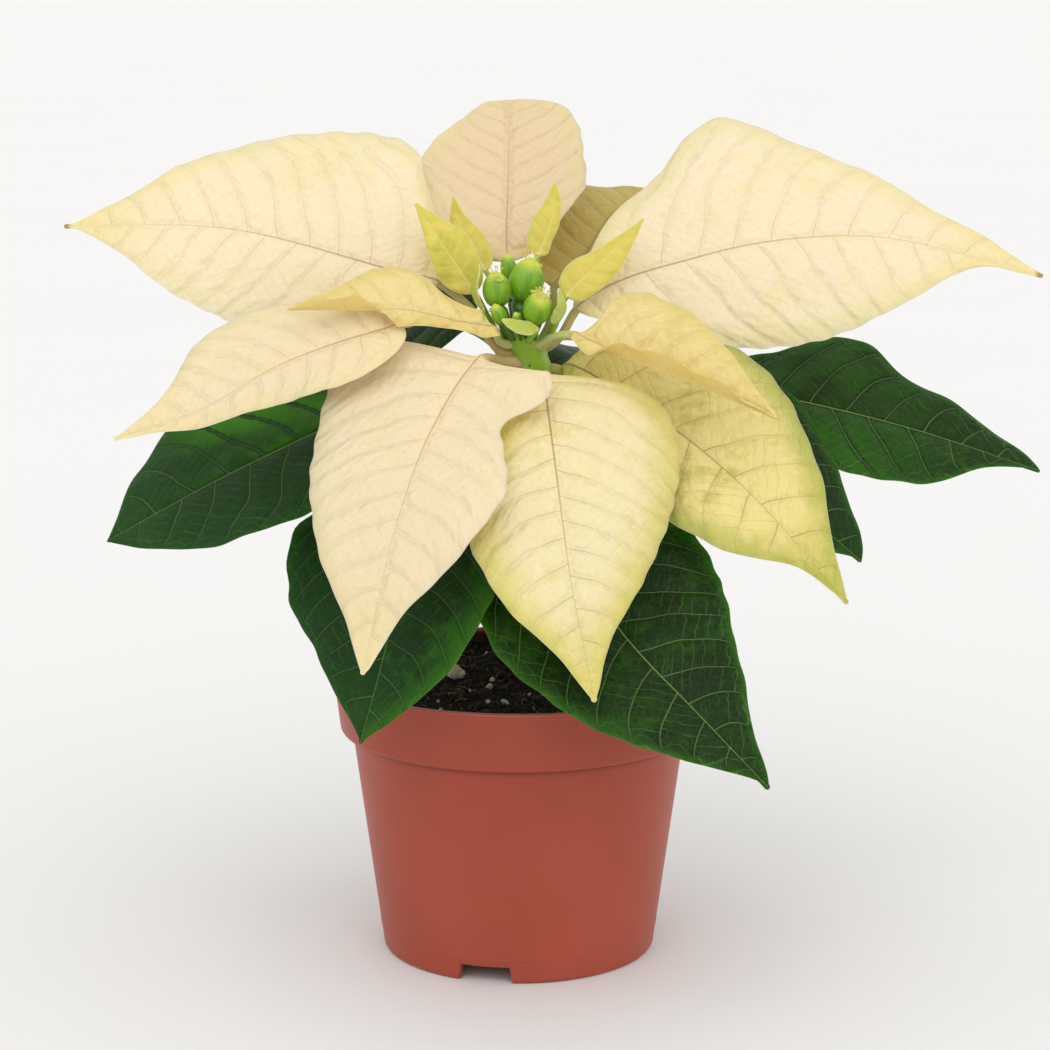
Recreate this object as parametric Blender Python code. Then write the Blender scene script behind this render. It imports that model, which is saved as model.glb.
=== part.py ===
"""A poinsettia with cream bracts, growing in soil in a thin plastic nursery pot.

Every size is in millimetres and becomes metres in add_mesh. Heights start at the surface that the pot
stands on, and x and y at the pot's own axis, with -y towards the side that the flower head leans to.
The empty "pot_axis" then carries everything to where the origin is the middle of the whole plant's foot.

A leaf is one loft: a round petiole that leaves the stem, then a thin blade. Its blade follows a curve
through a few points along the midrib, and half widths at even steps, closer at both ends, give each side.
"""

import math

import bmesh
import bpy
import numpy as np

MM = 0.001
CLEAR = 0.35  # gap between a piece and its seat

# pot
POT_HEIGHT = 80.0
RIM_RADIUS = 52.5
COLLAR_FOOT_RADIUS = RIM_RADIUS - 2.2
COLLAR_HEIGHT = 16.8
COLLAR_ROUND = 1.2
BODY_TOP_RADIUS = COLLAR_FOOT_RADIUS - 3.2
BASE_RADIUS = 38.4
WALL = 1.1
SKIRT_HEIGHT = 5.0
FOOT_WIDTH = 1.8
FOOT_ROUND = 0.7
POT_STEPS = 60
NOTCH_COUNT = 3
NOTCH_FIRST_DEG = -104.0
NOTCH_WIDTH = 15.5
NOTCH_HEIGHT = 4.8
DRAIN_HOLES = 6
DRAIN_RADIUS = 3.0
DRAIN_CIRCLE = 25.0
POT_AXIS_X = -10.0

# soil and stem
SOIL_TOP = 73.5
SOIL_MOUND = 1.4
SOIL_RISE = 2.5  # how much higher the soil lies at the back, and between which y
SOIL_RISE_FROM = 8.0
SOIL_RISE_TO = 44.0
SOIL_EDGE = 1.5  # how far the soil's top is rounded where it meets the wall
STEM_FOOT = 66.0
STEM_AXIS = [(8, 3, STEM_FOOT), (8, 3, 80), (8, 1, 120), (7, -2, 150), (4.5, -5, 166), (1, -7, 176)]
STEM_RADII = [4.0, 4.0, 3.8, 4.2, 4.6, 4.6]
STEM_SIDES = 16

# leaves
BLADE_THICK = 0.8
TIP_HALF_WIDTH = 0.3
LARGE = (11, 7, 6)  # stations along the blade, points across it, stations along the petiole
SMALL = (7, 5, 4)

COLOURS = {
    "terracotta_plastic": ((0.37, 0.085, 0.055), 0.42),
    "potting_soil": ((0.012, 0.009, 0.008), 0.95),
    "green_stem": ((0.16, 0.28, 0.05), 0.5),
    "cream_bract": ((0.88, 0.75, 0.46), 0.5),
    "yellow_green_bract": ((0.62, 0.60, 0.10), 0.5),
    "green_leaf": ((0.02, 0.075, 0.018), 0.42),
    "cyathium_green": ((0.14, 0.42, 0.02), 0.4),
}

# Each leaf: node = height on the stem and heading in degrees; lift = rise of the petiole as it leaves;
# petiole and blade = points the midrib passes; left and right = half widths seen along the midrib;
# roll = turn about the midrib from base to tip; fold and curl = upward angle of each half at the midrib
# and its growth to the margin, each a number or a run from base to tip; face = heading that a steep blade's
# back turns to.
LEAVES = {
    "bract_upper_left": dict(
        colour="cream_bract", node=(171, 160), lift=35, stalk=1.2,
        petiole=[(-11, -4, 180)],
        blade=[(-22, -1, 189), (-37, 1, 193), (-80, 8, 203), (-127, 16, 203)],
        left=(6, 20, 26, 26, 20, 7.5, 1), right=(14, 36, 39, 31, 21.5, 10, 2),
        roll=(55, 55, 45), fold=(-4, 6), curl=(-15, -12),
    ),
    "bract_back": dict(
        colour="cream_bract", node=(173, 110), lift=60, stalk=1.2,
        petiole=[(-2, 4, 184)],
        blade=[(-3, 8, 194), (-3, 34, 216), (-3, 56, 230), (-4, 72, 235)],
        left=(11, 22, 25.5, 24, 15.5, 10, 4), right=(8, 16, 22, 22, 20, 14, 7),
        fold=(10, 10), curl=(5, 5),
    ),
    "bract_back_right": dict(
        colour="cream_bract", node=(173, 40), lift=60, stalk=1.1,
        petiole=[(9.5, 1, 180)],
        blade=[(10, 9, 187), (17, 20, 192.5), (26, 40, 203.5), (40, 70, 209)],
        left=(6, 13, 18, 18, 15, 9, 3), right=(6, 10, 15, 18, 15, 9, 3),
        roll=(-20,),
    ),
    "bract_upper_right": dict(
        colour="cream_bract", node=(172, 5), lift=30, stalk=1.2,
        blade=[(16, -2.5, 181.8), (50, 2, 196), (95, 8, 201), (146.7, 14, 189.3)],
        left=(3, 9, 20, 28.5, 40.5, 31, 20.5, 13.6, 9.2, 4.6, 1.6), right=(9, 18, 28, 29.2, 20, 3, 0.7),
        roll=(-55, -55, -45), fold=(8, -8), curl=(-15, -15),
    ),
    "bract_left": dict(
        colour="cream_bract", node=(170, 190), lift=20, stalk=1.1,
        petiole=[(-10, -9, 177), (-20, -15, 181)],
        blade=[(-31, -25, 180.5), (-63, -34, 171), (-84, -42, 160), (-106, -46, 153)],
        left=(6.5, 12.5, 14, 11.5, 6.5, 3, 1), right=(5, 12, 18, 21.5, 16, 6, 1.5),
        roll=(40,),
    ),
    "bract_front_left": dict(
        colour="cream_bract", node=(168, -150), stalk=1.3,
        blade=[(-10, -24, 171), (-22, -48, 157), (-30, -68, 138), (-39.2, -86, 99.4)],
        left=(13, 23, 27, 18.3, 22.3, 26.5, 21.8, 14.6, 7.1, 3.4, 1.5),
        right=(25, 34, 31.5, 27.8, 20.8, 9.5, 2.7),
        roll=(12, 6, 2, 0), fold=((20, 3, 0, 0, 0, 0), 0),
    ),
    "bract_front": dict(
        colour="cream_bract", node=(163, -70), stalk=1.2,
        blade=[(7, -26, 167), (10, -54, 145), (14, -75, 118), (19.4, -86, 92.3)],
        left=(19, 31, 33.5, 28.5, 19.2, 7.3, 2.1), right=(4, 10, 18.5, 25.5, 20, 8, 2.2),
    ),
    "bract_front_right": dict(
        colour="cream_bract", node=(166, -15), lift=-10, stalk=1.1,
        blade=[(13, -10, 167), (35, -24, 157), (59, -42, 140), (86.4, -54, 110.6)],
        left=(8, 19, 31, 28, 19.5, 8.6, 2.4), right=(4, 10, 17, 22.5, 17, 4.2, 0.8),
        roll=(-40,),
    ),
    "small_bract_right": dict(
        colour="cream_bract", node=(173, -45), lift=30, stalk=1.3,
        blade=[(15, -21, 177), (26, -30, 174), (45, -44, 168), (67, -58, 160)],
        left=(9.5, 16.5, 18, 16, 11, 5, 1.5), right=(3, 5, 6, 6, 5, 3, 1),
        roll=(-5,), fold=(55, (-20, -20, 45, 60, 60, 55, 50, 50)),
    ),
    "small_bract_left": dict(
        colour="cream_bract", node=(173, -150), lift=20, stalk=1.0,
        blade=[(-6.3, -16, 178), (-17, -22, 181.3), (-29, -26, 184.5), (-45, -31, 185.2), (-61, -33, 185.4)],
        left=(3, 3.4, 3.4, 2.8, 2.4, 3, 4.2, 4.8, 2.6, 5, 4.5, 3.4, 2.2, 1.3, 0.7),
        right=(4, 4.5, 8, 12.5, 9, 4.5, 1.5),
        roll=(5,), fold=((-60, -60, -60, -60, -60, -60, 20, 58, 60, 60, 58), 55),
    ),
    "bractlet_left_front": dict(
        colour="yellow_green_bract", node=(174, 165), lift=45, stalk=0.8, face=90,
        blade=[(-12, -6, 187), (-20, -6, 199), (-28, -3, 211)],
        left=(3.5, 6, 5, 2.5, 1), right=(4, 6.5, 7, 3.8, 1.2),
    ),
    "bractlet_left_back": dict(
        colour="yellow_green_bract", node=(174.5, 135), lift=70, stalk=0.7, face=90,
        blade=[(-9, 2, 192), (-14.5, 5.5, 200.5), (-16.6, 7, 206.5), (-18, 7, 211.9)],
        left=(3, 4, 3.5, 2.6, 1), right=(3, 5, 4.5, 2, 0.8),
    ),
    "bractlet_back": dict(
        colour="yellow_green_bract", node=(174.5, 75), lift=70, stalk=0.7, face=90,
        blade=[(5.5, 4, 196), (9, 5, 205), (10, 6, 216)],
        left=(3.7, 5, 5, 2.5, 0.8), right=(2.2, 2, 2.3, 2, 1),
    ),
    "bractlet_right": dict(
        colour="yellow_green_bract", node=(174, 5), lift=40, stalk=0.8,
        blade=[(13, -8, 186), (22, -7, 195), (34, -6, 207)],
        left=(4, 5.5, 3.3, 1.6, 0.5), right=(4, 5.3, 5.3, 3, 1),
        roll=(-80,),
    ),
    "cup_bract_left": dict(
        colour="yellow_green_bract", node=(174.5, -175), lift=30, stalk=0.7, face=24,
        blade=[(-9.5, -11, 182), (-12, -10.5, 188), (-10.5, -9.5, 195)],
        left=(1.5, 2.5, 2.5, 2, 1), right=(1.5, 2.5, 2.5, 2, 1),
    ),
    "cup_bract_right": dict(
        colour="yellow_green_bract", node=(174.5, -15), lift=30, stalk=0.7, face=-27,
        blade=[(9.9, -13, 179.4), (12.6, -14.6, 184), (11.1, -16.2, 189.2)],
        left=(2, 3, 3.2, 2.2, 1), right=(2, 3, 3.2, 2.2, 1), fold=(20, 20), curl=(20, 20),
    ),
    "cup_bract_front": dict(
        colour="yellow_green_bract", node=(174.5, -75), lift=30, stalk=0.7,
        blade=[(5, -16.3, 178), (0.5, -17.8, 179), (-4.5, -17.5, 181)],
        left=(1, 2, 2, 1.5, 0.7), right=(1, 2, 2, 1.5, 0.7),
        roll=(60,),
    ),
    "leaf_left": dict(
        colour="green_leaf", node=(150, 180),
        blade=[(-29, -14, 162), (-54, -20, 151), (-80, -26, 139), (-111, -28, 122)],
        left=(8, 18, 26, 27.5, 23.5, 14, 4), right=(8, 17, 24, 27.5, 30, 18.7, 5),
        roll=(30,),
    ),
    "leaf_front_left": dict(
        colour="green_leaf", node=(138, -130),
        blade=[(-18, -36, 143), (-29, -50, 121), (-36, -62, 94), (-41, -66, 76)],
        left=(12, 22, 28, 30, 23, 11.5, 2.7), right=(12, 26, 40.5, 37, 25.5, 14, 3),
    ),
    "leaf_front_right": dict(
        colour="green_leaf", node=(142, -60),
        blade=[(7, -36, 135), (26, -62, 106), (48, -78, 85), (64, -84, 69)],
        left=(12, 24, 33.5, 30, 20, 9, 3), right=(12, 25.5, 31.5, 28, 19.5, 8, 1),
        roll=(-30,),
    ),
    "leaf_right": dict(
        colour="green_leaf", node=(153, 10),
        blade=[(45, 10, 160), (74, 14, 155), (111, 14, 146), (147, 10, 134.5)],
        left=(3, 6, 10, 14, 19.5, 29, 30, 20.5, 16.5, 12, 8.2, 5, 2), right=(8, 16, 23, 24, 21, 6.7, 0.5),
        roll=(-35,),
    ),
    "leaf_low_right": dict(
        colour="green_leaf", node=(135, -15),
        blade=[(36, -10, 158), (55, -16, 145), (76, -22, 130), (93, -26, 116)],
        left=(9, 22, 32, 29.5, 21, 12, 5), right=(9, 20, 25, 26, 22, 7, 0.7),
        roll=(-35,),
    ),
    "leaf_back_left": dict(
        colour="green_leaf", node=(163, 145), lift=30, stalk=1.3,
        petiole=[(-7, 8, 171)],
        blade=[(-15, 18, 174.5), (-30, 34, 174), (-50, 51, 169), (-66, 64, 162)],
        left=(9, 14, 16, 16, 13, 8, 3), right=(9, 14, 16, 16, 13, 8, 3),
        roll=(45, 45, 25),
    ),
    "leaf_back": dict(
        colour="green_leaf", node=(128, 100),
        blade=[(4, 30, 130), (0, 50, 126), (-6, 72, 114), (-12, 87, 98)],
        left=(9, 18, 25, 27, 20, 11, 4), right=(9, 18, 25, 27, 20, 11, 4),
    ),
    "leaf_back_right": dict(
        colour="green_leaf", node=(154, 50), lift=30, stalk=1.3,
        blade=[(14, 11, 164), (36, 30, 160), (60, 50, 149), (78, 64, 135)],
        left=(12, 18, 22, 24, 18, 10, 4), right=(10, 11, 12, 17, 15, 10, 4),
        roll=(-10,),
    ),
    "leaf_low_back_left": dict(
        colour="green_leaf", node=(120, 140),
        blade=[(-18, 24, 114), (-34, 43, 109), (-48, 59, 98), (-56, 69, 88)],
        left=(7, 14, 19, 20, 16, 9, 3), right=(7, 14, 19, 20, 16, 9, 3),
        roll=(15,),
    ),
    "leaf_low_back_right": dict(
        colour="green_leaf", node=(116, 60),
        blade=[(17, 26, 112), (28, 44, 108), (38, 60, 100), (45, 72, 90)],
        left=(6, 12, 17, 18, 14, 8, 3), right=(6, 12, 17, 18, 14, 8, 3),
        roll=(-10,),
    ),
}

# The flower buds: where the pedicel leaves the stem's top (x, y), the bud's foot and its tip, its radius and
# the pedicel's radius at the bud.
CYATHIA = {
    "cyathium_top": dict(
        foot=(1.6, -5.2), base=(0.5, -4, 184), tip=(3.5, -4, 196), radius=4.9, pedicel=3.0,
    ),
    "cyathium_left": dict(
        foot=(-2.2, -7.6), base=(-5.5, -9, 183.5), tip=(-6.5, -10, 193), radius=3.9, pedicel=2.3,
    ),
    "cyathium_right": dict(
        foot=(2.9, -9.6), base=(4.2, -11.8, 180), tip=(6.4, -17, 187.6), radius=4.0, pedicel=2.5,
    ),
    "cyathium_back": dict(
        foot=(-0.9, -2.7), base=(-2.3, 0.8, 188.6), tip=(-3.2, 2, 196.6), radius=2.3, pedicel=1.1,
    ),
    "cyathium_low": dict(
        foot=(-1.5, -10.9), base=(-4.1, -13, 179), tip=(-6.6, -13.8, 184.6), radius=2.1, pedicel=1.1,
    ),
    "cyathium_front": dict(
        foot=(0.6, -11.2), base=(0, -13.2, 178.5), tip=(-0.8, -14.2, 182.5), radius=1.4, pedicel=0.6,
    ),
}
BUD_PROFILE = [
    (0.0, 0.42), (0.08, 0.66), (0.25, 0.91), (0.45, 1.0), (0.65, 0.93), (0.82, 0.7), (0.94, 0.42), (1.0, 0.2),
]
PEDICEL_TAPER = 0.3  # how much thinner a pedicel is at its foot, as a share
BUD_SIDES = 12


# --- curves -----------------------------------------------------------------------------------------


def unit(v):
    return v / np.linalg.norm(v, axis=-1, keepdims=True)


def slopes(knots, values):
    """Slope at each knot: the two neighbouring steps, the shorter one counting more."""
    step = np.diff(knots)
    rate = np.diff(values, axis=0) / (step[:, None] if values.ndim > 1 else step)
    slope = np.empty_like(values)
    slope[0] = rate[0]
    slope[-1] = rate[-1]
    for i in range(1, len(values) - 1):
        slope[i] = (rate[i - 1] * step[i] + rate[i] * step[i - 1]) / (step[i - 1] + step[i])
    return slope


def smooth(knots, values, t, slope=None):
    """Cubic curve through values at knots, read at t."""
    knots = np.asarray(knots, float)
    values = np.asarray(values, float)
    if slope is None:
        slope = slopes(knots, values)
    i = np.clip(np.searchsorted(knots, t, side="right") - 1, 0, len(values) - 2)
    step = knots[i + 1] - knots[i]
    x = (t - knots[i]) / step
    if values.ndim > 1:
        step = step[:, None]
        x = x[:, None]
    start = (2 * x**3 - 3 * x**2 + 1) * values[i] + (x**3 - 2 * x**2 + x) * step * slope[i]
    return start + (3 * x**2 - 2 * x**3) * values[i + 1] + (x**3 - x**2) * step * slope[i + 1]


def along(points):
    """Share of the way along a run of points, 0 at the first and 1 at the last."""
    steps = np.linalg.norm(np.diff(points, axis=0), axis=1)
    run = np.concatenate([[0.0], np.cumsum(steps)])
    return run / run[-1]


def profile_at(values, share):
    """A number, or a run of numbers from base to tip, read at shares of the way."""
    values = np.atleast_1d(np.asarray(values, float))
    return np.interp(share, np.linspace(0, 1, len(values)), values)


def stem_at(height):
    """Middle and radius of the stem at a height."""
    heights = [p[2] for p in STEM_AXIS]
    middle = smooth(heights, STEM_AXIS, np.array([height]))[0]
    return middle, float(np.interp(height, heights, STEM_RADII))


# --- meshes -----------------------------------------------------------------------------------------


def material(name):
    """Principled material of one of the plant's colours, made once."""
    found = bpy.data.materials.get(name)
    if found:
        return found
    colour, roughness = COLOURS[name]
    made = bpy.data.materials.new(name)
    made.use_nodes = True
    shader = made.node_tree.nodes["Principled BSDF"]
    shader.inputs["Base Color"].default_value = (*colour, 1)
    shader.inputs["Roughness"].default_value = roughness
    made.diffuse_color = (*colour, 1)
    return made


def link(mesh, name, colour):
    """Object for a mesh, shaded smooth, on the pot's axis."""
    mesh.shade_smooth()
    mesh.set_sharp_from_angle(angle=math.radians(40))
    mesh.materials.append(material(colour))
    made = bpy.data.objects.new(name, mesh)
    made.parent = bpy.data.objects["pot_axis"]
    bpy.context.scene.collection.objects.link(made)
    return made


def loft(rings, name, colour):
    """Closed skin over rings of equally many points, with a middle point closing each end."""
    rings = np.asarray(rings, float)
    count, around, _ = rings.shape
    ends = [rings[0].mean(axis=0), rings[-1].mean(axis=0)]
    points = np.vstack([rings.reshape(-1, 3), ends]) * MM
    faces = []
    for i in range(count - 1):
        for j in range(around):
            a = i * around + j
            b = i * around + (j + 1) % around
            faces.append((a, b, b + around, a + around))
    last = (count - 1) * around
    for j in range(around):
        faces.append((len(points) - 2, (j + 1) % around, j))
        faces.append((len(points) - 1, last + j, last + (j + 1) % around))
    mesh = bpy.data.meshes.new(name)
    mesh.from_pydata(points.tolist(), [], faces)
    bm = bmesh.new()
    bm.from_mesh(mesh)
    bmesh.ops.recalc_face_normals(bm, faces=bm.faces)
    bm.to_mesh(mesh)
    bm.free()
    return link(mesh, name, colour)


def turned(profile, name, colour, steps):
    """Solid turned about the pot's axis from a profile of (radius, height) that starts and ends on it."""
    bm = bmesh.new()
    corners = [bm.verts.new((r * MM, 0, z * MM)) for r, z in profile]
    edges = [bm.edges.new(pair) for pair in zip(corners, corners[1:])]
    bmesh.ops.spin(
        bm, geom=corners + edges, cent=(0, 0, 0), axis=(0, 0, 1), angle=2 * math.pi,
        steps=steps, use_merge=True,
    )
    bmesh.ops.remove_doubles(bm, verts=bm.verts, dist=1e-6)
    bmesh.ops.recalc_face_normals(bm, faces=bm.faces)
    mesh = bpy.data.meshes.new(name)
    bm.to_mesh(mesh)
    bm.free()
    return link(mesh, name, colour)


def cut(target, cutter):
    """Takes the cutter out of the target and hides the cutter."""
    cut_out = target.modifiers.new("cut_" + cutter.name, "BOOLEAN")
    cut_out.operation = "DIFFERENCE"
    cut_out.object = cutter
    cutter.display_type = "WIRE"
    cutter.hide_render = True
    cutter.hide_set(True)


# --- pot --------------------------------------------------------------------------------------------


def outer_radius(height):
    """Outside of the pot's body below the collar."""
    top = POT_HEIGHT - COLLAR_HEIGHT
    return BASE_RADIUS + (BODY_TOP_RADIUS - BASE_RADIUS) * height / top


def inner_radius(height):
    """Inside of the pot's wall at any height above its floor."""
    step = POT_HEIGHT - COLLAR_HEIGHT
    if height < step - 1:
        return outer_radius(height) - WALL
    rise = (height - step) / COLLAR_HEIGHT
    return COLLAR_FOOT_RADIUS + (RIM_RADIUS - COLLAR_FOOT_RADIUS) * rise - WALL


def make_pot():
    step = POT_HEIGHT - COLLAR_HEIGHT
    floor = SKIRT_HEIGHT + WALL
    foot_in = BASE_RADIUS - FOOT_WIDTH
    profile = [
        (0, SKIRT_HEIGHT),
        (foot_in - 0.6, SKIRT_HEIGHT),
        (foot_in, SKIRT_HEIGHT - 0.6),
        (foot_in, 0),
        (BASE_RADIUS - FOOT_ROUND, 0),
        (BASE_RADIUS - 0.3 * FOOT_ROUND, 0.3 * FOOT_ROUND),
        (BASE_RADIUS, FOOT_ROUND),
        (outer_radius(step / 2), step / 2),
        (BODY_TOP_RADIUS, step - 0.2),
        (BODY_TOP_RADIUS + 0.3, step),
        (COLLAR_FOOT_RADIUS - COLLAR_ROUND, step),
        (COLLAR_FOOT_RADIUS - 0.3 * COLLAR_ROUND, step + 0.3 * COLLAR_ROUND),
        (COLLAR_FOOT_RADIUS, step + COLLAR_ROUND),
        (RIM_RADIUS - 0.1, POT_HEIGHT - 0.6),
        (RIM_RADIUS - 0.3, POT_HEIGHT - 0.15),
        (RIM_RADIUS - 0.6, POT_HEIGHT),
        (RIM_RADIUS - 1.1, POT_HEIGHT - 0.2),
        (inner_radius(POT_HEIGHT - 1), POT_HEIGHT - 1),
        (inner_radius(step), step),
        (outer_radius(step - 1.2) - WALL, step - 1.2),
        (inner_radius(floor + 1), floor + 1),
        (inner_radius(floor) - 1, floor),
        (0, floor),
    ]
    pot = turned(profile, "pot", "terracotta_plastic", POT_STEPS)
    cut(pot, make_notches())
    cut(pot, make_drains())


def make_notches():
    """Blocks across the foot ring, one for each notch, with the upper corners cut off."""
    half = NOTCH_WIDTH / 2
    outline = [(-half, -2), (half, -2), (half, NOTCH_HEIGHT - 1.2), (half - 1.2, NOTCH_HEIGHT)]
    outline += [(1.2 - half, NOTCH_HEIGHT), (-half, NOTCH_HEIGHT - 1.2)]
    bm = bmesh.new()
    for i in range(NOTCH_COUNT):
        turn = math.radians(NOTCH_FIRST_DEG + i * 360 / NOTCH_COUNT)
        out = np.array([math.cos(turn), math.sin(turn), 0.0])
        side = np.array([-math.sin(turn), math.cos(turn), 0.0])
        rows = []
        for reach in (BASE_RADIUS - 8, BASE_RADIUS + 4):
            rows.append([bm.verts.new((out * reach + side * s + (0, 0, z)) * MM) for s, z in outline])
        bm.faces.new(rows[0])
        bm.faces.new(rows[1])
        for j in range(len(outline)):
            k = (j + 1) % len(outline)
            bm.faces.new((rows[0][j], rows[0][k], rows[1][k], rows[1][j]))
    bmesh.ops.recalc_face_normals(bm, faces=bm.faces)
    mesh = bpy.data.meshes.new("notch_cutter")
    bm.to_mesh(mesh)
    bm.free()
    return link(mesh, "notch_cutter", "terracotta_plastic")


def make_drains():
    """Upright pegs through the pot's floor, one for each drain hole."""
    bm = bmesh.new()
    for i in range(DRAIN_HOLES):
        turn = math.radians(30 + i * 360 / DRAIN_HOLES)
        peg = bmesh.ops.create_cone(
            bm, cap_ends=True, segments=12, radius1=DRAIN_RADIUS * MM, radius2=DRAIN_RADIUS * MM, depth=4 * MM
        )
        place = (DRAIN_CIRCLE * math.cos(turn) * MM, DRAIN_CIRCLE * math.sin(turn) * MM, SKIRT_HEIGHT * MM)
        bmesh.ops.translate(bm, verts=peg["verts"], vec=place)
    mesh = bpy.data.meshes.new("drain_cutter")
    bm.to_mesh(mesh)
    bm.free()
    return link(mesh, "drain_cutter", "terracotta_plastic")


# --- soil and stem ----------------------------------------------------------------------------------


def make_soil():
    """Soil that fills the pot to under the rim, higher at the back, with a socket round the stem's foot."""
    step = POT_HEIGHT - COLLAR_HEIGHT
    bottom = SKIRT_HEIGHT + WALL + CLEAR
    profile = [
        (0, bottom),
        (inner_radius(bottom) - 1.5, bottom),
        (inner_radius(bottom + 2) - CLEAR, bottom + 2),
        (outer_radius(step - 1.2) - WALL - CLEAR, step - 0.9),
        (inner_radius(step) - CLEAR, step + 0.4),
        (inner_radius(SOIL_TOP - 1) - CLEAR, SOIL_TOP - 1),
        (inner_radius(SOIL_TOP) - SOIL_EDGE, SOIL_TOP),
        (33, SOIL_TOP + 0.4 * SOIL_MOUND),
        (16, SOIL_TOP + SOIL_MOUND),
        (0, SOIL_TOP + SOIL_MOUND),
    ]
    soil = turned(profile, "soil", "potting_soil", 48)
    for corner in soil.data.vertices:
        if corner.co.z > (SOIL_TOP - SOIL_EDGE) * MM:
            back = (corner.co.y / MM - SOIL_RISE_FROM) / (SOIL_RISE_TO - SOIL_RISE_FROM)
            back = min(max(back, 0), 1)
            corner.co.z += SOIL_RISE * MM * back * back * (3 - 2 * back)
    middle, radius = stem_at(STEM_FOOT)
    turns = np.linspace(0, 2 * math.pi, STEM_SIDES, endpoint=False)
    ring = np.stack([np.cos(turns), np.sin(turns), 0 * turns], axis=1) * (radius + CLEAR)
    rings = [ring + (middle[0], middle[1], z) for z in (STEM_FOOT - CLEAR, SOIL_TOP + 6)]
    cut(soil, loft(rings, "stem_socket", "potting_soil"))


def make_stem():
    """Round stem along its leaning axis, a little domed at the top where the flower head sits."""
    turns = np.linspace(0, 2 * math.pi, STEM_SIDES, endpoint=False)
    ring = np.stack([np.cos(turns), np.sin(turns), 0 * turns], axis=1)
    rings = []
    for height in (66, 74, 84, 98, 112, 126, 140, 150, 158, 166, 172, 175):
        middle, radius = stem_at(height)
        rings.append(middle + ring * radius)
    top, radius = stem_at(STEM_AXIS[-1][2])
    rings.append(top + ring * radius * 0.8)
    loft(rings, "stem", "green_stem")


# --- leaves -----------------------------------------------------------------------------------------


def midrib_points(leaf):
    """All points of the midrib, from the stem's skin to the tip, and how many belong to the petiole."""
    height, heading = leaf["node"]
    stalk = leaf.get("stalk", 1.4)
    lift = math.radians(leaf.get("lift", 10))
    middle, radius = stem_at(height)
    away = np.array([math.cos(math.radians(heading)), math.sin(math.radians(heading)), 0.0])
    lean = (stem_at(min(height + 1, STEM_AXIS[-1][2]))[0] - stem_at(height - 1)[0]) / 2
    spread = stalk / (2 * radius) + abs(float(lean @ away) + math.sin(lift))
    start = middle + away * (radius + CLEAR + stalk * spread)
    second = start + (away * math.cos(lift) + np.array([0, 0, math.sin(lift)])) * 2.2 * stalk
    petiole = [start, second] + [np.array(p, float) for p in leaf.get("petiole", [])]
    return np.array(petiole + [np.array(p, float) for p in leaf["blade"]]), len(petiole)


def midrib(leaf, share, on_petiole):
    """Place, side and back directions on the midrib at shares of the petiole or of the blade."""
    points, first = midrib_points(leaf)
    knots = along(points)
    t = knots[first] * share if on_petiole else knots[first] + (1 - knots[first]) * share
    place = smooth(knots, points, t)
    nearby = [smooth(knots, points, np.clip(t + step, 0, 1)) for step in (-1e-3, 1e-3)]
    ahead = unit(nearby[1] - nearby[0])
    run = points[-1] - points[first]
    heading = math.radians(leaf["face"]) if "face" in leaf else math.atan2(run[1], run[0])
    level = np.array([math.sin(heading), -math.cos(heading), 0.0])
    side = unit(level - (ahead @ level)[:, None] * ahead)
    back = np.cross(side, ahead)
    turn = np.radians(profile_at(leaf.get("roll", 0), 0 * share if on_petiole else share))[:, None]
    return place, side * np.cos(turn) + back * np.sin(turn), back * np.cos(turn) - side * np.sin(turn)


def half_width(widths, u):
    """Half width of one side: round at the base, running out to a point at the tip."""
    values = np.concatenate([[0.0], widths, [0.0]])
    knots = np.linspace(0, 1, len(values))
    slope = slopes(knots, values)
    slope[0] = 1.3 * values[1] / knots[1]
    slope[-1] = 0
    return smooth(knots, values, u, slope)


def make_leaf(name, leaf):
    """One leaf or bract as a loft: rings round the petiole, then flat rings round the blade."""
    stations, across, petiole_stations = LARGE if len(leaf["left"]) > 5 else SMALL
    stalk = leaf.get("stalk", 1.4)
    v = np.linspace(-1, 1, across)
    v = np.concatenate([v, v[-2:0:-1]])
    skin = np.concatenate([[0], np.ones(across - 2), [0], -np.ones(across - 2)])
    turn = v * math.pi / 2

    share = np.linspace(0, 1, petiole_stations, endpoint=False)
    place, side, back = midrib(leaf, share, True)
    flat = (stalk * np.sin(turn))[None, :, None]
    high = (stalk * skin * np.cos(turn))[None, :, None]
    rings = list(place[:, None] + side[:, None] * flat + back[:, None] * high)

    u = np.append(np.linspace(0, 1, stations + 1)[:-1], 1 - 0.25 / stations)
    share = (1 - np.cos(np.pi * u)) / 2
    place, side, back = midrib(leaf, share, False)
    left = half_width(leaf["left"], u)[:, None]
    right = half_width(leaf["right"], u)[:, None]
    width = np.hypot(np.where(v < 0, left, right), stalk * (1 - share[:, None]))
    width = np.maximum(width, TIP_HALF_WIDTH)
    share = share[:, None]
    fold = np.where(v < 0, *(profile_at(f, share) for f in leaf.get("fold", (0, 0))))
    curl = np.where(v < 0, *(profile_at(c, share) for c in leaf.get("curl", (0, 0))))
    angle = np.radians(fold + curl * np.abs(v) / 2) * np.minimum(1, 12 * share)
    rib = np.maximum(stalk * (1 - share) ** 1.5 - BLADE_THICK / 2, 0)
    rib = rib * np.exp(-((v * width / (1.3 * stalk)) ** 2))
    half = (BLADE_THICK / 2 * (1 - np.abs(v) ** 3) + rib) * skin
    reach = width * np.abs(v) * np.cos(angle)
    flat = np.sign(v) * np.maximum(reach - np.sin(angle) * half, 0.3 * reach)
    high = width * np.abs(v) * np.sin(angle) + np.cos(angle) * half
    rings += list(place[:, None] + side[:, None] * flat[..., None] + back[:, None] * high[..., None])
    loft(rings, name, leaf["colour"])


# --- flower buds ------------------------------------------------------------------------------------


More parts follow.
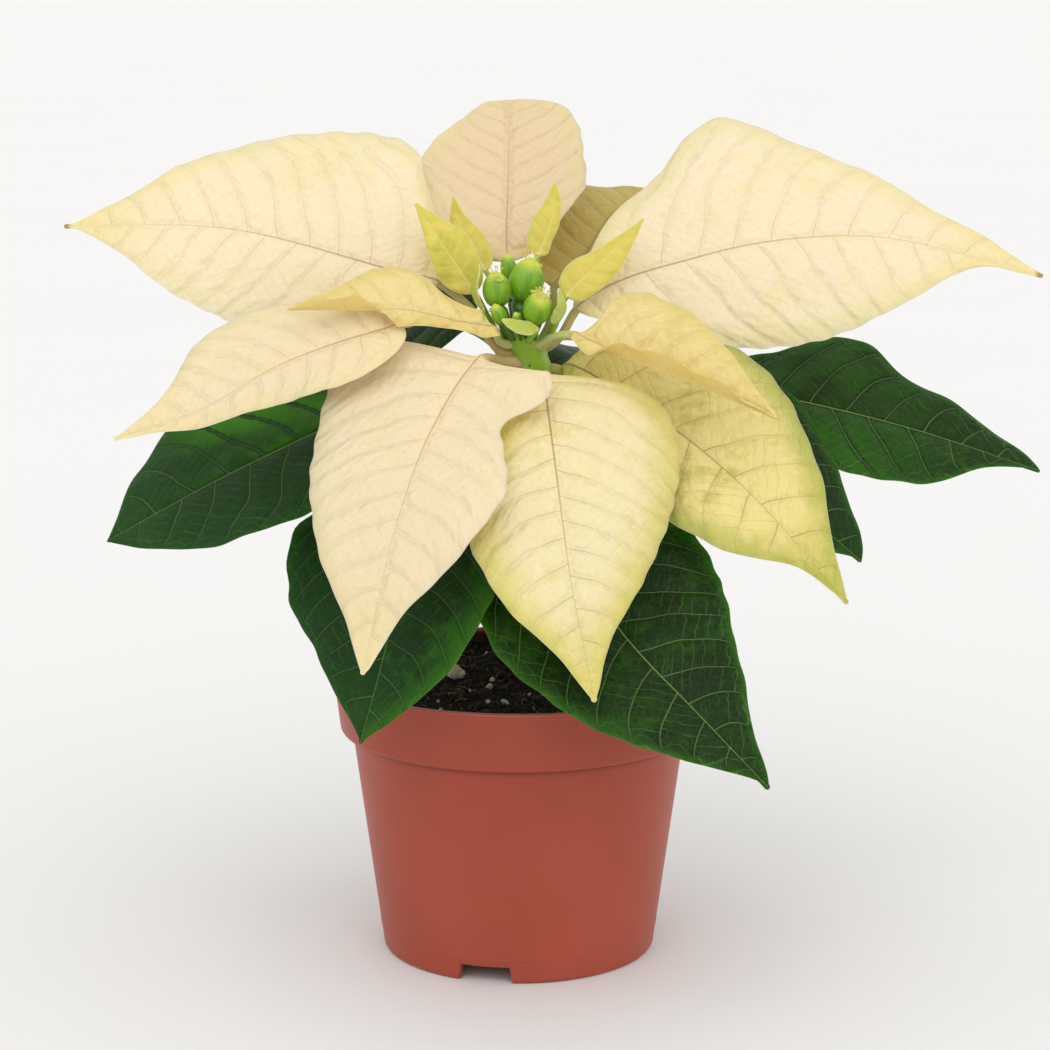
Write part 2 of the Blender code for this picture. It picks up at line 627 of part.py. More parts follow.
def make_cyathium(name, bud):
    """A bud on its pedicel, as rings square to a line from the stem's top to the bud's tip."""
    stem_top = STEM_AXIS[-1][2] + CLEAR
    foot = np.array([*bud["foot"], stem_top])
    base = np.array(bud["base"], float)
    tip = np.array(bud["tip"], float)
    turns = np.linspace(0, 2 * math.pi, BUD_SIDES, endpoint=False)
    level = np.array([1.0, 0.0, 0.0])
    rings = []
    for share in (0, 0.5):
        ring = np.stack([np.cos(turns), np.sin(turns), 0 * turns], axis=1)
        rings.append(foot + (base - foot) * share + ring * bud["pedicel"] * (1 - PEDICEL_TAPER * (1 - share)))
    ahead = unit(tip - base)
    side = unit(level - (level @ ahead) * ahead)
    up = np.cross(ahead, side)
    for share, size in BUD_PROFILE:
        ring = np.cos(turns)[:, None] * side + np.sin(turns)[:, None] * up
        rings.append(base + (tip - base) * share + ring * bud["radius"] * size)
    loft(rings, name, "cyathium_green")


def main():
    for old in list(bpy.data.objects):
        bpy.data.objects.remove(old)
    axis = bpy.data.objects.new("pot_axis", None)
    axis.location = (POT_AXIS_X * MM, 0, 0)
    bpy.context.scene.collection.objects.link(axis)
    make_pot()
    make_soil()
    make_stem()
    for name, leaf in LEAVES.items():
        make_leaf(name, leaf)
    for name, bud in CYATHIA.items():
        make_cyathium(name, bud)


main()
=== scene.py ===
"""Fine looks of a potted poinsettia, laid out as a Blender add-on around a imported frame.

The frame holds the plant's plain solids in metres. Each operator makes one kind of piece from a formula,
gives it a procedural material and lets it stand for the solids of the same name. Shape functions work in
millimetres, with x and y counted from the pot's axis and z from the ground; add_piece makes them metres.
"""

import math

import bpy
import numpy as np
from bpy.props import FloatProperty, FloatVectorProperty, IntProperty, PointerProperty
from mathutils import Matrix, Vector


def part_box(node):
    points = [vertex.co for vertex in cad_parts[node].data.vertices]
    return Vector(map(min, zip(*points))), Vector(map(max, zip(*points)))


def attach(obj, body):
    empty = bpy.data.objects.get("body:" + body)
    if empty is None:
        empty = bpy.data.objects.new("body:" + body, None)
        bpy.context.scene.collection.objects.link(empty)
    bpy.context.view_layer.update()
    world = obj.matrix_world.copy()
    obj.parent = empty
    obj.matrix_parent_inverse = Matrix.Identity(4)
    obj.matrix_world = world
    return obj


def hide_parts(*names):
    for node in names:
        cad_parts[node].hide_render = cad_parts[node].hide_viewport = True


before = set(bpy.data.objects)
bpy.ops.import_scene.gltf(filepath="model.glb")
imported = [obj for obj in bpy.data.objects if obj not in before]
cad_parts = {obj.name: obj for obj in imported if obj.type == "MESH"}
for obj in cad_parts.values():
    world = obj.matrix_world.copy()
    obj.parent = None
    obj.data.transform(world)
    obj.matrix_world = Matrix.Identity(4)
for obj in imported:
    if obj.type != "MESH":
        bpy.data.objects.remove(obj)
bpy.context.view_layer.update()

bl_info = {
    "name": "Potted Poinsettia",
    "version": (1, 0, 0),
    "blender": (4, 5, 0),
    "location": "View3D > Sidebar > Poinsettia",
    "description": "Bracts, leaves, flower buds, stem, soil and pot of a poinsettia, with their materials",
    "category": "Add Mesh",
}

MM = 0.001
POT_LOW, POT_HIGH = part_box("pot")
POT_AXIS = np.array([(POT_LOW.x + POT_HIGH.x) / 2, (POT_LOW.y + POT_HIGH.y) / 2, 0.0])
POT_HEIGHT = POT_HIGH.z / MM
RIM_RADIUS = (POT_HIGH.x - POT_LOW.x) / 2 / MM

# pot, millimetres
COLLAR_HEIGHT = 16.8
COLLAR_TAPER = 2.2
COLLAR_LEDGE = 3.2
COLLAR_FOOT_RADIUS = RIM_RADIUS - COLLAR_TAPER
BODY_TOP_RADIUS = COLLAR_FOOT_RADIUS - COLLAR_LEDGE
LEDGE_HEIGHT = POT_HEIGHT - COLLAR_HEIGHT
BASE_RADIUS = 38.4
WALL = 1.1
SKIRT_HEIGHT = 5.0
FOOT_WIDTH = 1.8
FOOT_BEAD_HEIGHT = 6.6
NOTCHES_DEG = (-104, 16, 136)
NOTCH_WIDTH = 15.5
NOTCH_HEIGHT = 4.8
DRAINS_DEG = (30, 90, 150, 210, 270, 330)
DRAIN_CIRCLE = 25.0
DRAIN_RADIUS = 3.0

# soil, millimetres: it rises towards the back between two distances from the axis; and the grains of
# perlite that are listed one by one, (x, y, radius)
SOIL_TOP = 73.5
SOIL_GAP = 0.35
SOIL_MOUND = 1.4
SOIL_RISE = 2.5
SOIL_RISE_FROM = 8.0
SOIL_RISE_TO = 44.0
LARGE_GRAINS = [(-17.8, 10.6, 2.7), (-8.5, -17, 1.0), (-3.8, -17, 1.2), (-13.6, -6, 0.7)]

# stem, millimetres: points of its axis and the radius at each; and leaf scars, (height, heading, stalk)
STEM_AXIS = [(8, 3, 66), (8, 3, 80), (8, 1, 120), (7, -2, 150), (4.5, -5, 166), (1, -7, 176)]
STEM_RADII = [4.0, 4.0, 3.8, 4.2, 4.6, 4.6]
STEM_TOP = STEM_AXIS[-1][2]
SCARS = [(92, 205, 1.5), (99, 35, 1.5), (106, 120, 1.5), (112, -40, 1.5)]
DOME_FOOT = 173
DOME_HEIGHT = 4.3

# leaves, millimetres: a petiole's radius unless its leaf says otherwise, the distance between its rings, the
# rounding of a blade's tip, and how deep the margin's lobes are, as a share of the width
STALK = 1.4
PETIOLE_RING_GAP = 1.1
TIP_ROUNDING = 0.8
LOBE_DEPTH = 0.009

# camera, millimetres and degrees, and the lights: where each comes from and how many degrees wide it is
CAMERA_PLACE = (1.8, -800, 278)
CAMERA_TILT = 78.9
SENSOR_WIDTH = 36
KEY_FROM, KEY_SPREAD = (-0.12, -1.0, 1.0), 55
FILL_FROM, FILL_SPREAD = (0.9, -0.6, 0.5), 60

# Each leaf: look = its colours; node = height on the stem and heading in degrees; lift = rise of the petiole
# as it leaves; petiole and blade = points the midrib passes; left and right = half widths seen along the
# midrib; roll = turn about the midrib from base to tip; fold and curl = upward angle of each half at the
# midrib and its growth to the margin, each a number or a run from base to tip; face = heading that a steep
# blade's back turns to; pairs = side veins; wave = height of the margin's waves and how many there are; glow
# and panels = how far the margins, and the panels between the veins, of each half take the margin's colour.
LEAVES = {
    "bract_upper_left": dict(
        look="cream", node=(171, 160), lift=35, stalk=1.2,
        petiole=[(-11, -4, 180)],
        blade=[(-22, -1, 189), (-37, 1, 193), (-80, 8, 203), (-127, 16, 203)],
        left=(6, 20, 26, 26, 20, 7.5, 1), right=(14, 36, 39, 31, 21.5, 10, 2),
        roll=(55, 55, 45), fold=(-4, 6), curl=(-15, -12), pairs=12, glow=(0.6, 1),
    ),
    "bract_back": dict(
        look="rose", node=(173, 110), lift=60, stalk=1.2,
        petiole=[(-2, 4, 184)],
        blade=[(-3, 8, 194), (-3, 34, 216), (-3, 56, 230), (-4, 72, 235)],
        left=(11, 22, 25.5, 24, 15.5, 10, 4), right=(8, 16, 22, 22, 20, 14, 7),
        fold=(10, 10), curl=(5, 5), pairs=9, wave=(0.8, 3),
    ),
    "bract_back_right": dict(
        # painted shade: this bract's olive look is partly darkened for the shade it stands in
        look="olive", node=(173, 40), lift=60, stalk=1.1,
        petiole=[(9.5, 1, 180)],
        blade=[(10, 9, 187), (17, 20, 192.5), (26, 40, 203.5), (40, 70, 209)],
        left=(6, 13, 18, 18, 15, 9, 3), right=(6, 10, 15, 18, 15, 9, 3),
        roll=-20, pairs=9,
    ),
    "bract_upper_right": dict(
        look="cream", node=(172, 5), lift=30, stalk=1.2,
        blade=[(16, -2.5, 181.8), (50, 2, 196), (95, 8, 201), (146.7, 14, 189.3)],
        left=(3, 9, 20, 28.5, 40.5, 31, 20.5, 13.6, 9.2, 4.6, 1.6), right=(9, 18, 28, 29.2, 20, 3, 0.7),
        roll=(-55, -55, -45), fold=(8, -8), curl=(-15, -15), pairs=13,
    ),
    "bract_left": dict(
        look="blush", node=(170, 190), lift=20, stalk=1.1,
        petiole=[(-10, -9, 177), (-20, -15, 181)],
        blade=[(-31, -25, 180.5), (-63, -34, 171), (-84, -42, 160), (-106, -46, 153)],
        left=(6.5, 12.5, 14, 11.5, 6.5, 3, 1), right=(5, 12, 18, 21.5, 16, 6, 1.5),
        roll=40, pairs=11,
    ),
    "bract_front_left": dict(
        look="blush", node=(168, -150), stalk=1.3,
        blade=[(-10, -24, 171), (-22, -48, 157), (-30, -68, 138), (-39.2, -86, 99.4)],
        left=(13, 23, 27, 18.3, 22.3, 26.5, 21.8, 14.6, 7.1, 3.4, 1.5),
        right=(25, 34, 31.5, 27.8, 20.8, 9.5, 2.7),
        roll=(12, 6, 2, 0), fold=((20, 3, 0, 0, 0, 0), 0), pairs=12, glow=(0.2, 1),
    ),
    "bract_front": dict(
        look="butter", node=(163, -70), stalk=1.2,
        blade=[(7, -26, 167), (10, -54, 145), (14, -75, 118), (19.4, -86, 92.3)],
        left=(19, 31, 33.5, 28.5, 19.2, 7.3, 2.1), right=(4, 10, 18.5, 25.5, 20, 8, 2.2), pairs=13,
    ),
    "bract_front_right": dict(
        look="mottled", node=(166, -15), lift=-10, stalk=1.1,
        blade=[(13, -10, 167), (35, -24, 157), (59, -42, 140), (86.4, -54, 110.6)],
        left=(8, 19, 31, 28, 19.5, 8.6, 2.4), right=(4, 10, 17, 22.5, 17, 4.2, 0.8),
        roll=-40, pairs=10,
    ),
    "small_bract_right": dict(
        look="gold", node=(173, -45), lift=30, stalk=1.3,
        blade=[(15, -21, 177), (26, -30, 174), (45, -44, 168), (67, -58, 160)],
        left=(9.5, 16.5, 18, 16, 11, 5, 1.5), right=(3, 5, 6, 6, 5, 3, 1),
        roll=-5, fold=(55, (-20, -20, 45, 60, 60, 55, 50, 50)), pairs=9, wave=(0.8, 4),
    ),
    "small_bract_left": dict(
        look="gold", node=(173, -150), lift=20, stalk=1.0,
        blade=[(-6.3, -16, 178), (-17, -22, 181.3), (-29, -26, 184.5), (-45, -31, 185.2), (-61, -33, 185.4)],
        left=(3, 3.4, 3.4, 2.8, 2.4, 3, 4.2, 4.8, 2.6, 5, 4.5, 3.4, 2.2, 1.3, 0.7),
        right=(4, 4.5, 8, 12.5, 9, 4.5, 1.5),
        roll=5, fold=((-60, -60, -60, -60, -60, -60, 20, 58, 60, 60, 58), 55), pairs=8,
    ),
    "bractlet_left_front": dict(
        look="lime", node=(174, 165), lift=45, stalk=0.8, face=90,
        blade=[(-12, -6, 187), (-20, -6, 199), (-28, -3, 211)],
        left=(3.5, 6, 5, 2.5, 1), right=(4, 6.5, 7, 3.8, 1.2), pairs=6,
    ),
    "bractlet_left_back": dict(
        look="lime", node=(174.5, 135), lift=70, stalk=0.7, face=90,
        blade=[(-9, 2, 192), (-14.5, 5.5, 200.5), (-16.6, 7, 206.5), (-18, 7, 211.9)],
        left=(3, 4, 3.5, 2.6, 1), right=(3, 5, 4.5, 2, 0.8), pairs=6,
    ),
    "bractlet_back": dict(
        look="lime", node=(174.5, 75), lift=70, stalk=0.7, face=90,
        blade=[(5.5, 4, 196), (9, 5, 205), (10, 6, 216)],
        left=(3.7, 5, 5, 2.5, 0.8), right=(2.2, 2, 2.3, 2, 1), pairs=6,
    ),
    "bractlet_right": dict(
        look="lime", node=(174, 5), lift=40, stalk=0.8,
        blade=[(13, -8, 186), (22, -7, 195), (34, -6, 207)],
        left=(4, 5.5, 3.3, 1.6, 0.5), right=(4, 5.3, 5.3, 3, 1),
        roll=-80, pairs=7,
    ),
    "cup_bract_left": dict(
        look="cup", node=(174.5, -175), lift=30, stalk=0.7, face=24,
        blade=[(-9.5, -11, 182), (-12, -10.5, 188), (-10.5, -9.5, 195)],
        left=(1.5, 2.5, 2.5, 2, 1), right=(1.5, 2.5, 2.5, 2, 1), pairs=4,
    ),
    "cup_bract_right": dict(
        look="cup", node=(174.5, -15), lift=30, stalk=0.7, face=-27,
        blade=[(9.9, -13, 179.4), (12.6, -14.6, 184), (11.1, -16.2, 189.2)],
        left=(2, 3, 3.2, 2.2, 1), right=(2, 3, 3.2, 2.2, 1), fold=(20, 20), curl=(20, 20), pairs=4,
    ),
    "cup_bract_front": dict(
        look="cup", node=(174.5, -75), lift=30, stalk=0.7,
        blade=[(5, -16.3, 178), (0.5, -17.8, 179), (-4.5, -17.5, 181)],
        left=(1, 2, 2, 1.5, 0.7), right=(1, 2, 2, 1.5, 0.7),
        roll=60, pairs=4,
    ),
    "leaf_left": dict(
        look="bright_leaf", node=(150, 180),
        blade=[(-29, -14, 162), (-54, -20, 151), (-80, -26, 139), (-111, -28, 122)],
        left=(8, 18, 26, 27.5, 23.5, 14, 4), right=(8, 17, 24, 27.5, 30, 18.7, 5),
        roll=30, pairs=9, glow=(0, 0), panels=(0, 1),
    ),
    "leaf_front_left": dict(
        look="bright_leaf", node=(138, -130),
        blade=[(-18, -36, 143), (-29, -50, 121), (-36, -62, 94), (-41, -66, 76)],
        left=(12, 22, 28, 30, 23, 11.5, 2.7), right=(12, 26, 40.5, 37, 25.5, 14, 3), pairs=9, glow=(0.7, 0),
    ),
    "leaf_front_right": dict(
        look="leaf", node=(142, -60),
        blade=[(7, -36, 135), (26, -62, 106), (48, -78, 85), (64, -84, 69)],
        left=(12, 24, 33.5, 30, 20, 9, 3), right=(12, 25.5, 31.5, 28, 19.5, 8, 1),
        roll=-30, pairs=11,
    ),
    "leaf_right": dict(
        look="leaf", node=(153, 10),
        blade=[(45, 10, 160), (74, 14, 155), (111, 14, 146), (147, 10, 134.5)],
        left=(3, 6, 10, 14, 19.5, 29, 30, 20.5, 16.5, 12, 8.2, 5, 2), right=(8, 16, 23, 24, 21, 6.7, 0.5),
        roll=-35, pairs=10, panels=(0.35, 0.5),
    ),
    "leaf_low_right": dict(
        look="leaf", node=(135, -15),
        blade=[(36, -10, 158), (55, -16, 145), (76, -22, 130), (93, -26, 116)],
        left=(9, 22, 32, 29.5, 21, 12, 5), right=(9, 20, 25, 26, 22, 7, 0.7),
        roll=-35, pairs=9,
    ),
    "leaf_back_left": dict(
        look="leaf", node=(163, 145), lift=30, stalk=1.3,
        petiole=[(-7, 8, 171)],
        blade=[(-15, 18, 174.5), (-30, 34, 174), (-50, 51, 169), (-66, 64, 162)],
        left=(9, 14, 16, 16, 13, 8, 3), right=(9, 14, 16, 16, 13, 8, 3),
        roll=(45, 45, 25), pairs=9,
    ),
    "leaf_back": dict(
        look="leaf", node=(128, 100),
        blade=[(4, 30, 130), (0, 50, 126), (-6, 72, 114), (-12, 87, 98)],
        left=(9, 18, 25, 27, 20, 11, 4), right=(9, 18, 25, 27, 20, 11, 4), pairs=9,
    ),
    "leaf_back_right": dict(
        look="leaf", node=(154, 50), lift=30, stalk=1.3,
        blade=[(14, 11, 164), (36, 30, 160), (60, 50, 149), (78, 64, 135)],
        left=(12, 18, 22, 24, 18, 10, 4), right=(10, 11, 12, 17, 15, 10, 4),
        roll=-10, pairs=9,
    ),
    "leaf_low_back_left": dict(
        look="leaf", node=(120, 140),
        blade=[(-18, 24, 114), (-34, 43, 109), (-48, 59, 98), (-56, 69, 88)],
        left=(7, 14, 19, 20, 16, 9, 3), right=(7, 14, 19, 20, 16, 9, 3),
        roll=15, pairs=8,
    ),
    "leaf_low_back_right": dict(
        look="leaf", node=(116, 60),
        blade=[(17, 26, 112), (28, 44, 108), (38, 60, 100), (45, 72, 90)],
        left=(6, 12, 17, 18, 14, 8, 3), right=(6, 12, 17, 18, 14, 8, 3),
        roll=-10, pairs=8,
    ),
}

# Flower buds: where the pedicel leaves the stem's top (x, y), the bud's foot and its tip, its radius, the
# pedicel's radius, the heading of its nectar gland in degrees, and how many stamens show at its mouth.
CYATHIA = {
    "cyathium_top": dict(
        foot=(1.6, -5.2), base=(0.5, -4, 184), tip=(3.5, -4, 196),
        radius=4.9, pedicel=3.0, gland=60, stamens=12,
    ),
    "cyathium_left": dict(
        foot=(-2.2, -7.6), base=(-5.5, -9, 183.5), tip=(-6.5, -10, 193),
        radius=3.9, pedicel=2.3, gland=-70, stamens=6,
    ),
    "cyathium_right": dict(
        foot=(2.9, -9.6), base=(4.2, -11.8, 180), tip=(6.4, -17, 187.6),
        radius=4.0, pedicel=2.5, gland=120, stamens=16,
    ),
    "cyathium_back": dict(
        foot=(-0.9, -2.7), base=(-2.3, 0.8, 188.6), tip=(-3.2, 2, 196.6),
        radius=2.3, pedicel=1.1, gland=200, stamens=0,
    ),
    "cyathium_low": dict(
        foot=(-1.5, -10.9), base=(-4.1, -13, 179), tip=(-6.6, -13.8, 184.6),
        radius=2.1, pedicel=1.1, gland=180, stamens=0,
    ),
    "cyathium_front": dict(
        foot=(0.6, -11.2), base=(0, -13.2, 178.5), tip=(-0.8, -14.2, 182.5),
        radius=1.4, pedicel=0.6, gland=0, stamens=0,
    ),
}
# half sections: the bud cup's, as shares of its height and radius, and the nectar gland's, with roundings
BUD_PROFILE = [
    (0.0, 0.42), (0.08, 0.66), (0.25, 0.91), (0.45, 1.0),
    (0.65, 0.93), (0.82, 0.7), (0.94, 0.42), (1.0, 0.2),
]
GLAND_PROFILE = [
    (0.01, 0, 0), (0.8, 0, 0.4), (1.05, 0.9, 0.25), (0.7, 1.05, 0.2), (0.35, 0.5, 0.3), (0.01, 0.4, 0),
]


# --- curves and waves -------------------------------------------------------------------------------


def unit(v):
    """The vectors of v at length 1."""
    return v / np.maximum(np.linalg.norm(v, axis=-1, keepdims=True), 1e-12)


def ease(low, high, t):
    """0 below low, 1 above high, and 3x^2 - 2x^3 of the share x between them."""
    x = np.clip((t - low) / (high - low), 0, 1)
    return x * x * (3 - 2 * x)


def slopes(knots, values):
    """Slope at each knot: the two neighbouring steps, the shorter one counting more."""
    step = np.diff(knots)
    step = step[:, None] if values.ndim > 1 else step
    rate = np.diff(values, axis=0) / step
    inner = (rate[:-1] * step[1:] + rate[1:] * step[:-1]) / (step[1:] + step[:-1])
    return np.concatenate([rate[:1], inner, rate[-1:]])


def smooth(knots, values, t, slope=None):
    """Cubic curve through values at knots, read at t: the Hermite form, with a slope at each knot."""
    knots = np.asarray(knots, float)
    values = np.asarray(values, float)
    if slope is None:
        slope = slopes(knots, values)
    i = np.clip(np.searchsorted(knots, t, side="right") - 1, 0, len(values) - 2)
    step = knots[i + 1] - knots[i]
    x = (t - knots[i]) / step
    if values.ndim > 1:
        step = step[:, None]
        x = x[:, None]
    start = (2 * x**3 - 3 * x**2 + 1) * values[i] + (x**3 - 2 * x**2 + x) * step * slope[i]
    return start + (3 * x**2 - 2 * x**3) * values[i + 1] + (x**3 - x**2) * step * slope[i + 1]


def along(points):
    """Share of the way along a run of points, 0 at the first and 1 at the last."""
    run = np.concatenate([[0.0], np.cumsum(np.linalg.norm(np.diff(points, axis=0), axis=1))])
    return run / run[-1]


def profile(values, share):
    """A number, or a run of numbers from base to tip, read at shares of the way."""
    values = np.atleast_1d(np.asarray(values, float))
    return np.interp(share, np.linspace(0, 1, len(values)), values)


def ripple(points, size, seed):
    """Smooth random height from -1 to 1: the mean of 14 plane waves, about size long, in all directions."""
    rng = np.random.default_rng(seed)
    pull = unit(rng.normal(size=(14, points.shape[-1])))
    pull = pull * (2 * np.pi / size * rng.uniform(0.6, 1.5, (14, 1)))
    waves = np.sin(points @ pull.T + rng.uniform(0, 2 * np.pi, 14))
    return waves.mean(axis=-1) * 2


def full_turn(count):
    """Angles of count points, evenly round a circle."""
    return np.linspace(0, 2 * np.pi, count, endpoint=False)


def polar(reach, turn, height=0.0):
    """Points at a distance from the axis, an angle and a height."""
    return np.stack(np.broadcast_arrays(reach * np.cos(turn), reach * np.sin(turn), height), axis=-1)


def heading_vector(degrees):
    """Level direction at a heading, counted from +x towards +y."""
    return polar(1.0, np.radians(degrees))


def stem_at(height):
    """Middle and radius of the stem at heights."""
    height = np.atleast_1d(height)
    heights = [p[2] for p in STEM_AXIS]
    return smooth(heights, STEM_AXIS, height), np.interp(height, heights, STEM_RADII)


# --- meshes -----------------------------------------------------------------------------------------


def tube_faces(rings, around):
    """Quads between neighbouring rings of points, and triangles to a middle point beyond each end ring."""
    i, j = (a.ravel() for a in np.meshgrid(np.arange(rings - 1), np.arange(around), indexing="ij"))
    k = (j + 1) % around
    quads = np.stack([i * around + j, i * around + k, (i + 1) * around + k, (i + 1) * around + j], axis=1)
    j = np.arange(around)
    k = (j + 1) % around
    last = (rings - 1) * around
    foot = np.stack([np.full(around, rings * around), k, j], axis=1)
    top = np.stack([np.full(around, rings * around + 1), last + j, last + k], axis=1)
    return [quads, np.concatenate([foot, top])]


def tube_points(rings):
    """The points of a tube's rings, then the middle of its first and of its last ring."""
    return np.vstack([rings.reshape(-1, 3), rings[0].mean(axis=0), rings[-1].mean(axis=0)])


def tube(rings):
    """Points and faces of the closed tube through rings of points."""
    return tube_points(rings), tube_faces(*rings.shape[:2])


def repeated(faces, count, size):
    """The faces of count copies of a shape with size points."""
    return [(group + np.arange(count)[:, None, None] * size).reshape(-1, group.shape[1]) for group in faces]


def joined(shapes):
    """Several shapes as one: all their points, and their faces numbered on."""
    starts = np.cumsum([0] + [len(points) for points, _ in shapes])
    faces = [group + start for (_, groups), start in zip(shapes, starts) for group in groups]
    return np.vstack([points for points, _ in shapes]), faces


def copies(points, faces, places, turns, sizes):
    """One small closed shape repeated: each copy scaled, turned by its 3x3 matrix and moved."""
    moved = np.einsum("nij,nkj->nki", turns, points[None] * sizes[:, None, :]) + places[:, None]
    return moved.reshape(-1, 3), repeated(faces, len(places), len(points))


def spin_matrices(count, rng):
    """Random turns, from the QR form of random matrices, none of them a mirror."""
    q, _ = np.linalg.qr(rng.normal(size=(count, 3, 3)))
    q[:, :, 0] *= np.sign(np.linalg.det(q))[:, None]
    return q


def outward(points, faces):
    """The same faces, all turned round if the volume they enclose comes out negative."""
    volume = 0.0
    for group in faces:
        for last in range(2, group.shape[1]):
            a, b, c = points[group[:, 0]], points[group[:, last - 1]], points[group[:, last]]
            volume += np.einsum("ij,ij->", a, np.cross(b, c))
    return faces if volume > 0 else [group[:, ::-1] for group in faces]


def add_piece(name, points, faces, material, nodes=(), slot=None, values=None, uv=None):
    """Object for a closed mesh in millimetres: on the pot's axis, smooth, riding on the root body.

    values are numbers per point, and uv is a pair per face corner, for the UV map "veins".
    """
    faces = outward(points, faces)
    mesh = bpy.data.meshes.new(name)
    sizes = np.concatenate([np.full(len(group), group.shape[1]) for group in faces])
    loops = np.concatenate([group.ravel() for group in faces]).astype(np.int32)
    mesh.vertices.add(len(points))
    mesh.vertices.foreach_set("co", (points * MM + POT_AXIS).astype(np.float32).ravel())
    mesh.loops.add(len(loops))
    mesh.loops.foreach_set("vertex_index", loops)
    mesh.polygons.add(len(sizes))
    mesh.polygons.foreach_set("loop_start", np.concatenate([[0], np.cumsum(sizes)[:-1]]).astype(np.int32))
    mesh.update(calc_edges=True)
    for key, numbers in (values or {}).items():
        held = mesh.attributes.new(key, "FLOAT", "POINT").data
        held.foreach_set("value", numbers.astype(np.float32).ravel())
    if uv is not None:
        mesh.uv_layers.new(name="veins").data.foreach_set("uv", uv.astype(np.float32).ravel())
    mesh.shade_smooth()
    mesh.materials.append(material)
    piece = bpy.data.objects.new(name, mesh)
    bpy.context.scene.collection.objects.link(piece)
    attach(piece, "root")
    if nodes:
        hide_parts(*nodes)
    return piece


# --- materials --------------------------------------------------------------------------------------


def linear(code):
    """Scene-linear colour of a six-figure sRGB code."""
    values = np.array([int(code[i : i + 2], 16) for i in (0, 2, 4)]) / 255
    return tuple(np.where(values <= 0.04045, values / 12.92, ((values + 0.055) / 1.055) ** 2.4))


def toned(colour, times, more=0.0):
    """A colour made darker or paler: each part times a number, plus another, at most 1."""
    return [min(1, c * times + more) for c in colour]


class Value:
    """A number in a node tree. Arithmetic with it adds math nodes."""

    def __init__(self, nodes, socket):
        self.nodes, self.socket = nodes, socket

    def __add__(self, other):
        return self.nodes.math("ADD", self, other)

    def __sub__(self, other):
        return self.nodes.math("SUBTRACT", self, other)

    def __rsub__(self, other):
        return self.nodes.math("SUBTRACT", other, self)

    def __mul__(self, other):
        return self.nodes.math("MULTIPLY", self, other)

    def __truediv__(self, other):
        return self.nodes.math("DIVIDE", self, other)

    def __abs__(self):
        return self.nodes.math("ABSOLUTE", self)

    __radd__, __rmul__ = __add__, __mul__


class Nodes:
    """Builds a material's node tree: what a node is given is a number, a colour, a Value or a socket."""

    def __init__(self, name):
        self.material = bpy.data.materials.new(name)
        self.material.use_nodes = True
        self.tree = self.material.node_tree
        self.tree.nodes.clear()

    def put(self, value, socket):
        value = getattr(value, "socket", value)
        if isinstance(value, bpy.types.NodeSocket):
            self.tree.links.new(value, socket)
        elif socket.type == "RGBA" and len(value) == 3:
            socket.default_value = (*value, 1)
        else:
            socket.default_value = value

    def add(self, kind, inputs, **settings):
        """A new node's outputs."""
        node = self.tree.nodes.new("ShaderNode" + kind)
        for key, value in settings.items():
            setattr(node, key, value)
        for key, value in inputs.items():
            self.put(value, node.inputs[key])
        return node.outputs

    def math(self, operation, *parts):
        return Value(self, self.add("Math", dict(enumerate(parts)), operation=operation)[0])

    def most(self, a, b):
        return self.math("MAXIMUM", a, b)

    def fract(self, a):
        return self.math("FRACT", a)

    def split(self, vector):
        return [Value(self, part) for part in self.add("SeparateXYZ", {0: vector})]

    def join(self, *parts):
        return self.add("CombineXYZ", dict(enumerate(parts)))[0]

    def mix(self, share, a, b):
        return self.add("Mix", {0: share, 6: a, 7: b}, data_type="RGBA")[2]

    def step(self, value, low, high):
        """Smooth step of a value: 0 at low, 1 at high."""
        inputs = {"Value": value, "From Min": low, "From Max": high}
        return Value(self, self.add("MapRange", inputs, interpolation_type="SMOOTHSTEP")[0])

    def value(self, name):
        """A number that the mesh holds at each point."""
        return Value(self, self.add("Attribute", {}, attribute_name=name)["Fac"])

    def place(self, scale=(1, 1, 1)):
        """Object coordinates, stretched."""
        return self.add("Mapping", {"Vector": self.add("TexCoord", {})["Object"], "Scale": scale})[0]

    def noise(self, vector, scale, detail=3.0, roughness=0.5, distortion=0.0):
        inputs = {"Vector": vector, "Scale": scale, "Detail": detail, "Roughness": roughness}
        return Value(self, self.add("TexNoise", {**inputs, "Distortion": distortion})[0])

    def cells(self, vector, scale, **settings):
        return self.add("TexVoronoi", {"Vector": vector, "Scale": scale}, **settings)

    def surface(self, colour, roughness, bump=None, height=0.0002, strength=1.0, **constants):
        """Principled surface, with a bump from a height and constants on the shader's own sockets."""
        inputs = {"Base Color": colour, "Roughness": roughness}
        inputs.update((key.replace("_", " "), value) for key, value in constants.items())
        if bump is not None:
            shape = {"Height": bump, "Distance": height, "Strength": strength}
            inputs["Normal"] = self.add("Bump", shape)[0]
        self.add("OutputMaterial", {0: self.add("BsdfPrincipled", inputs)[0]})
        return self.material


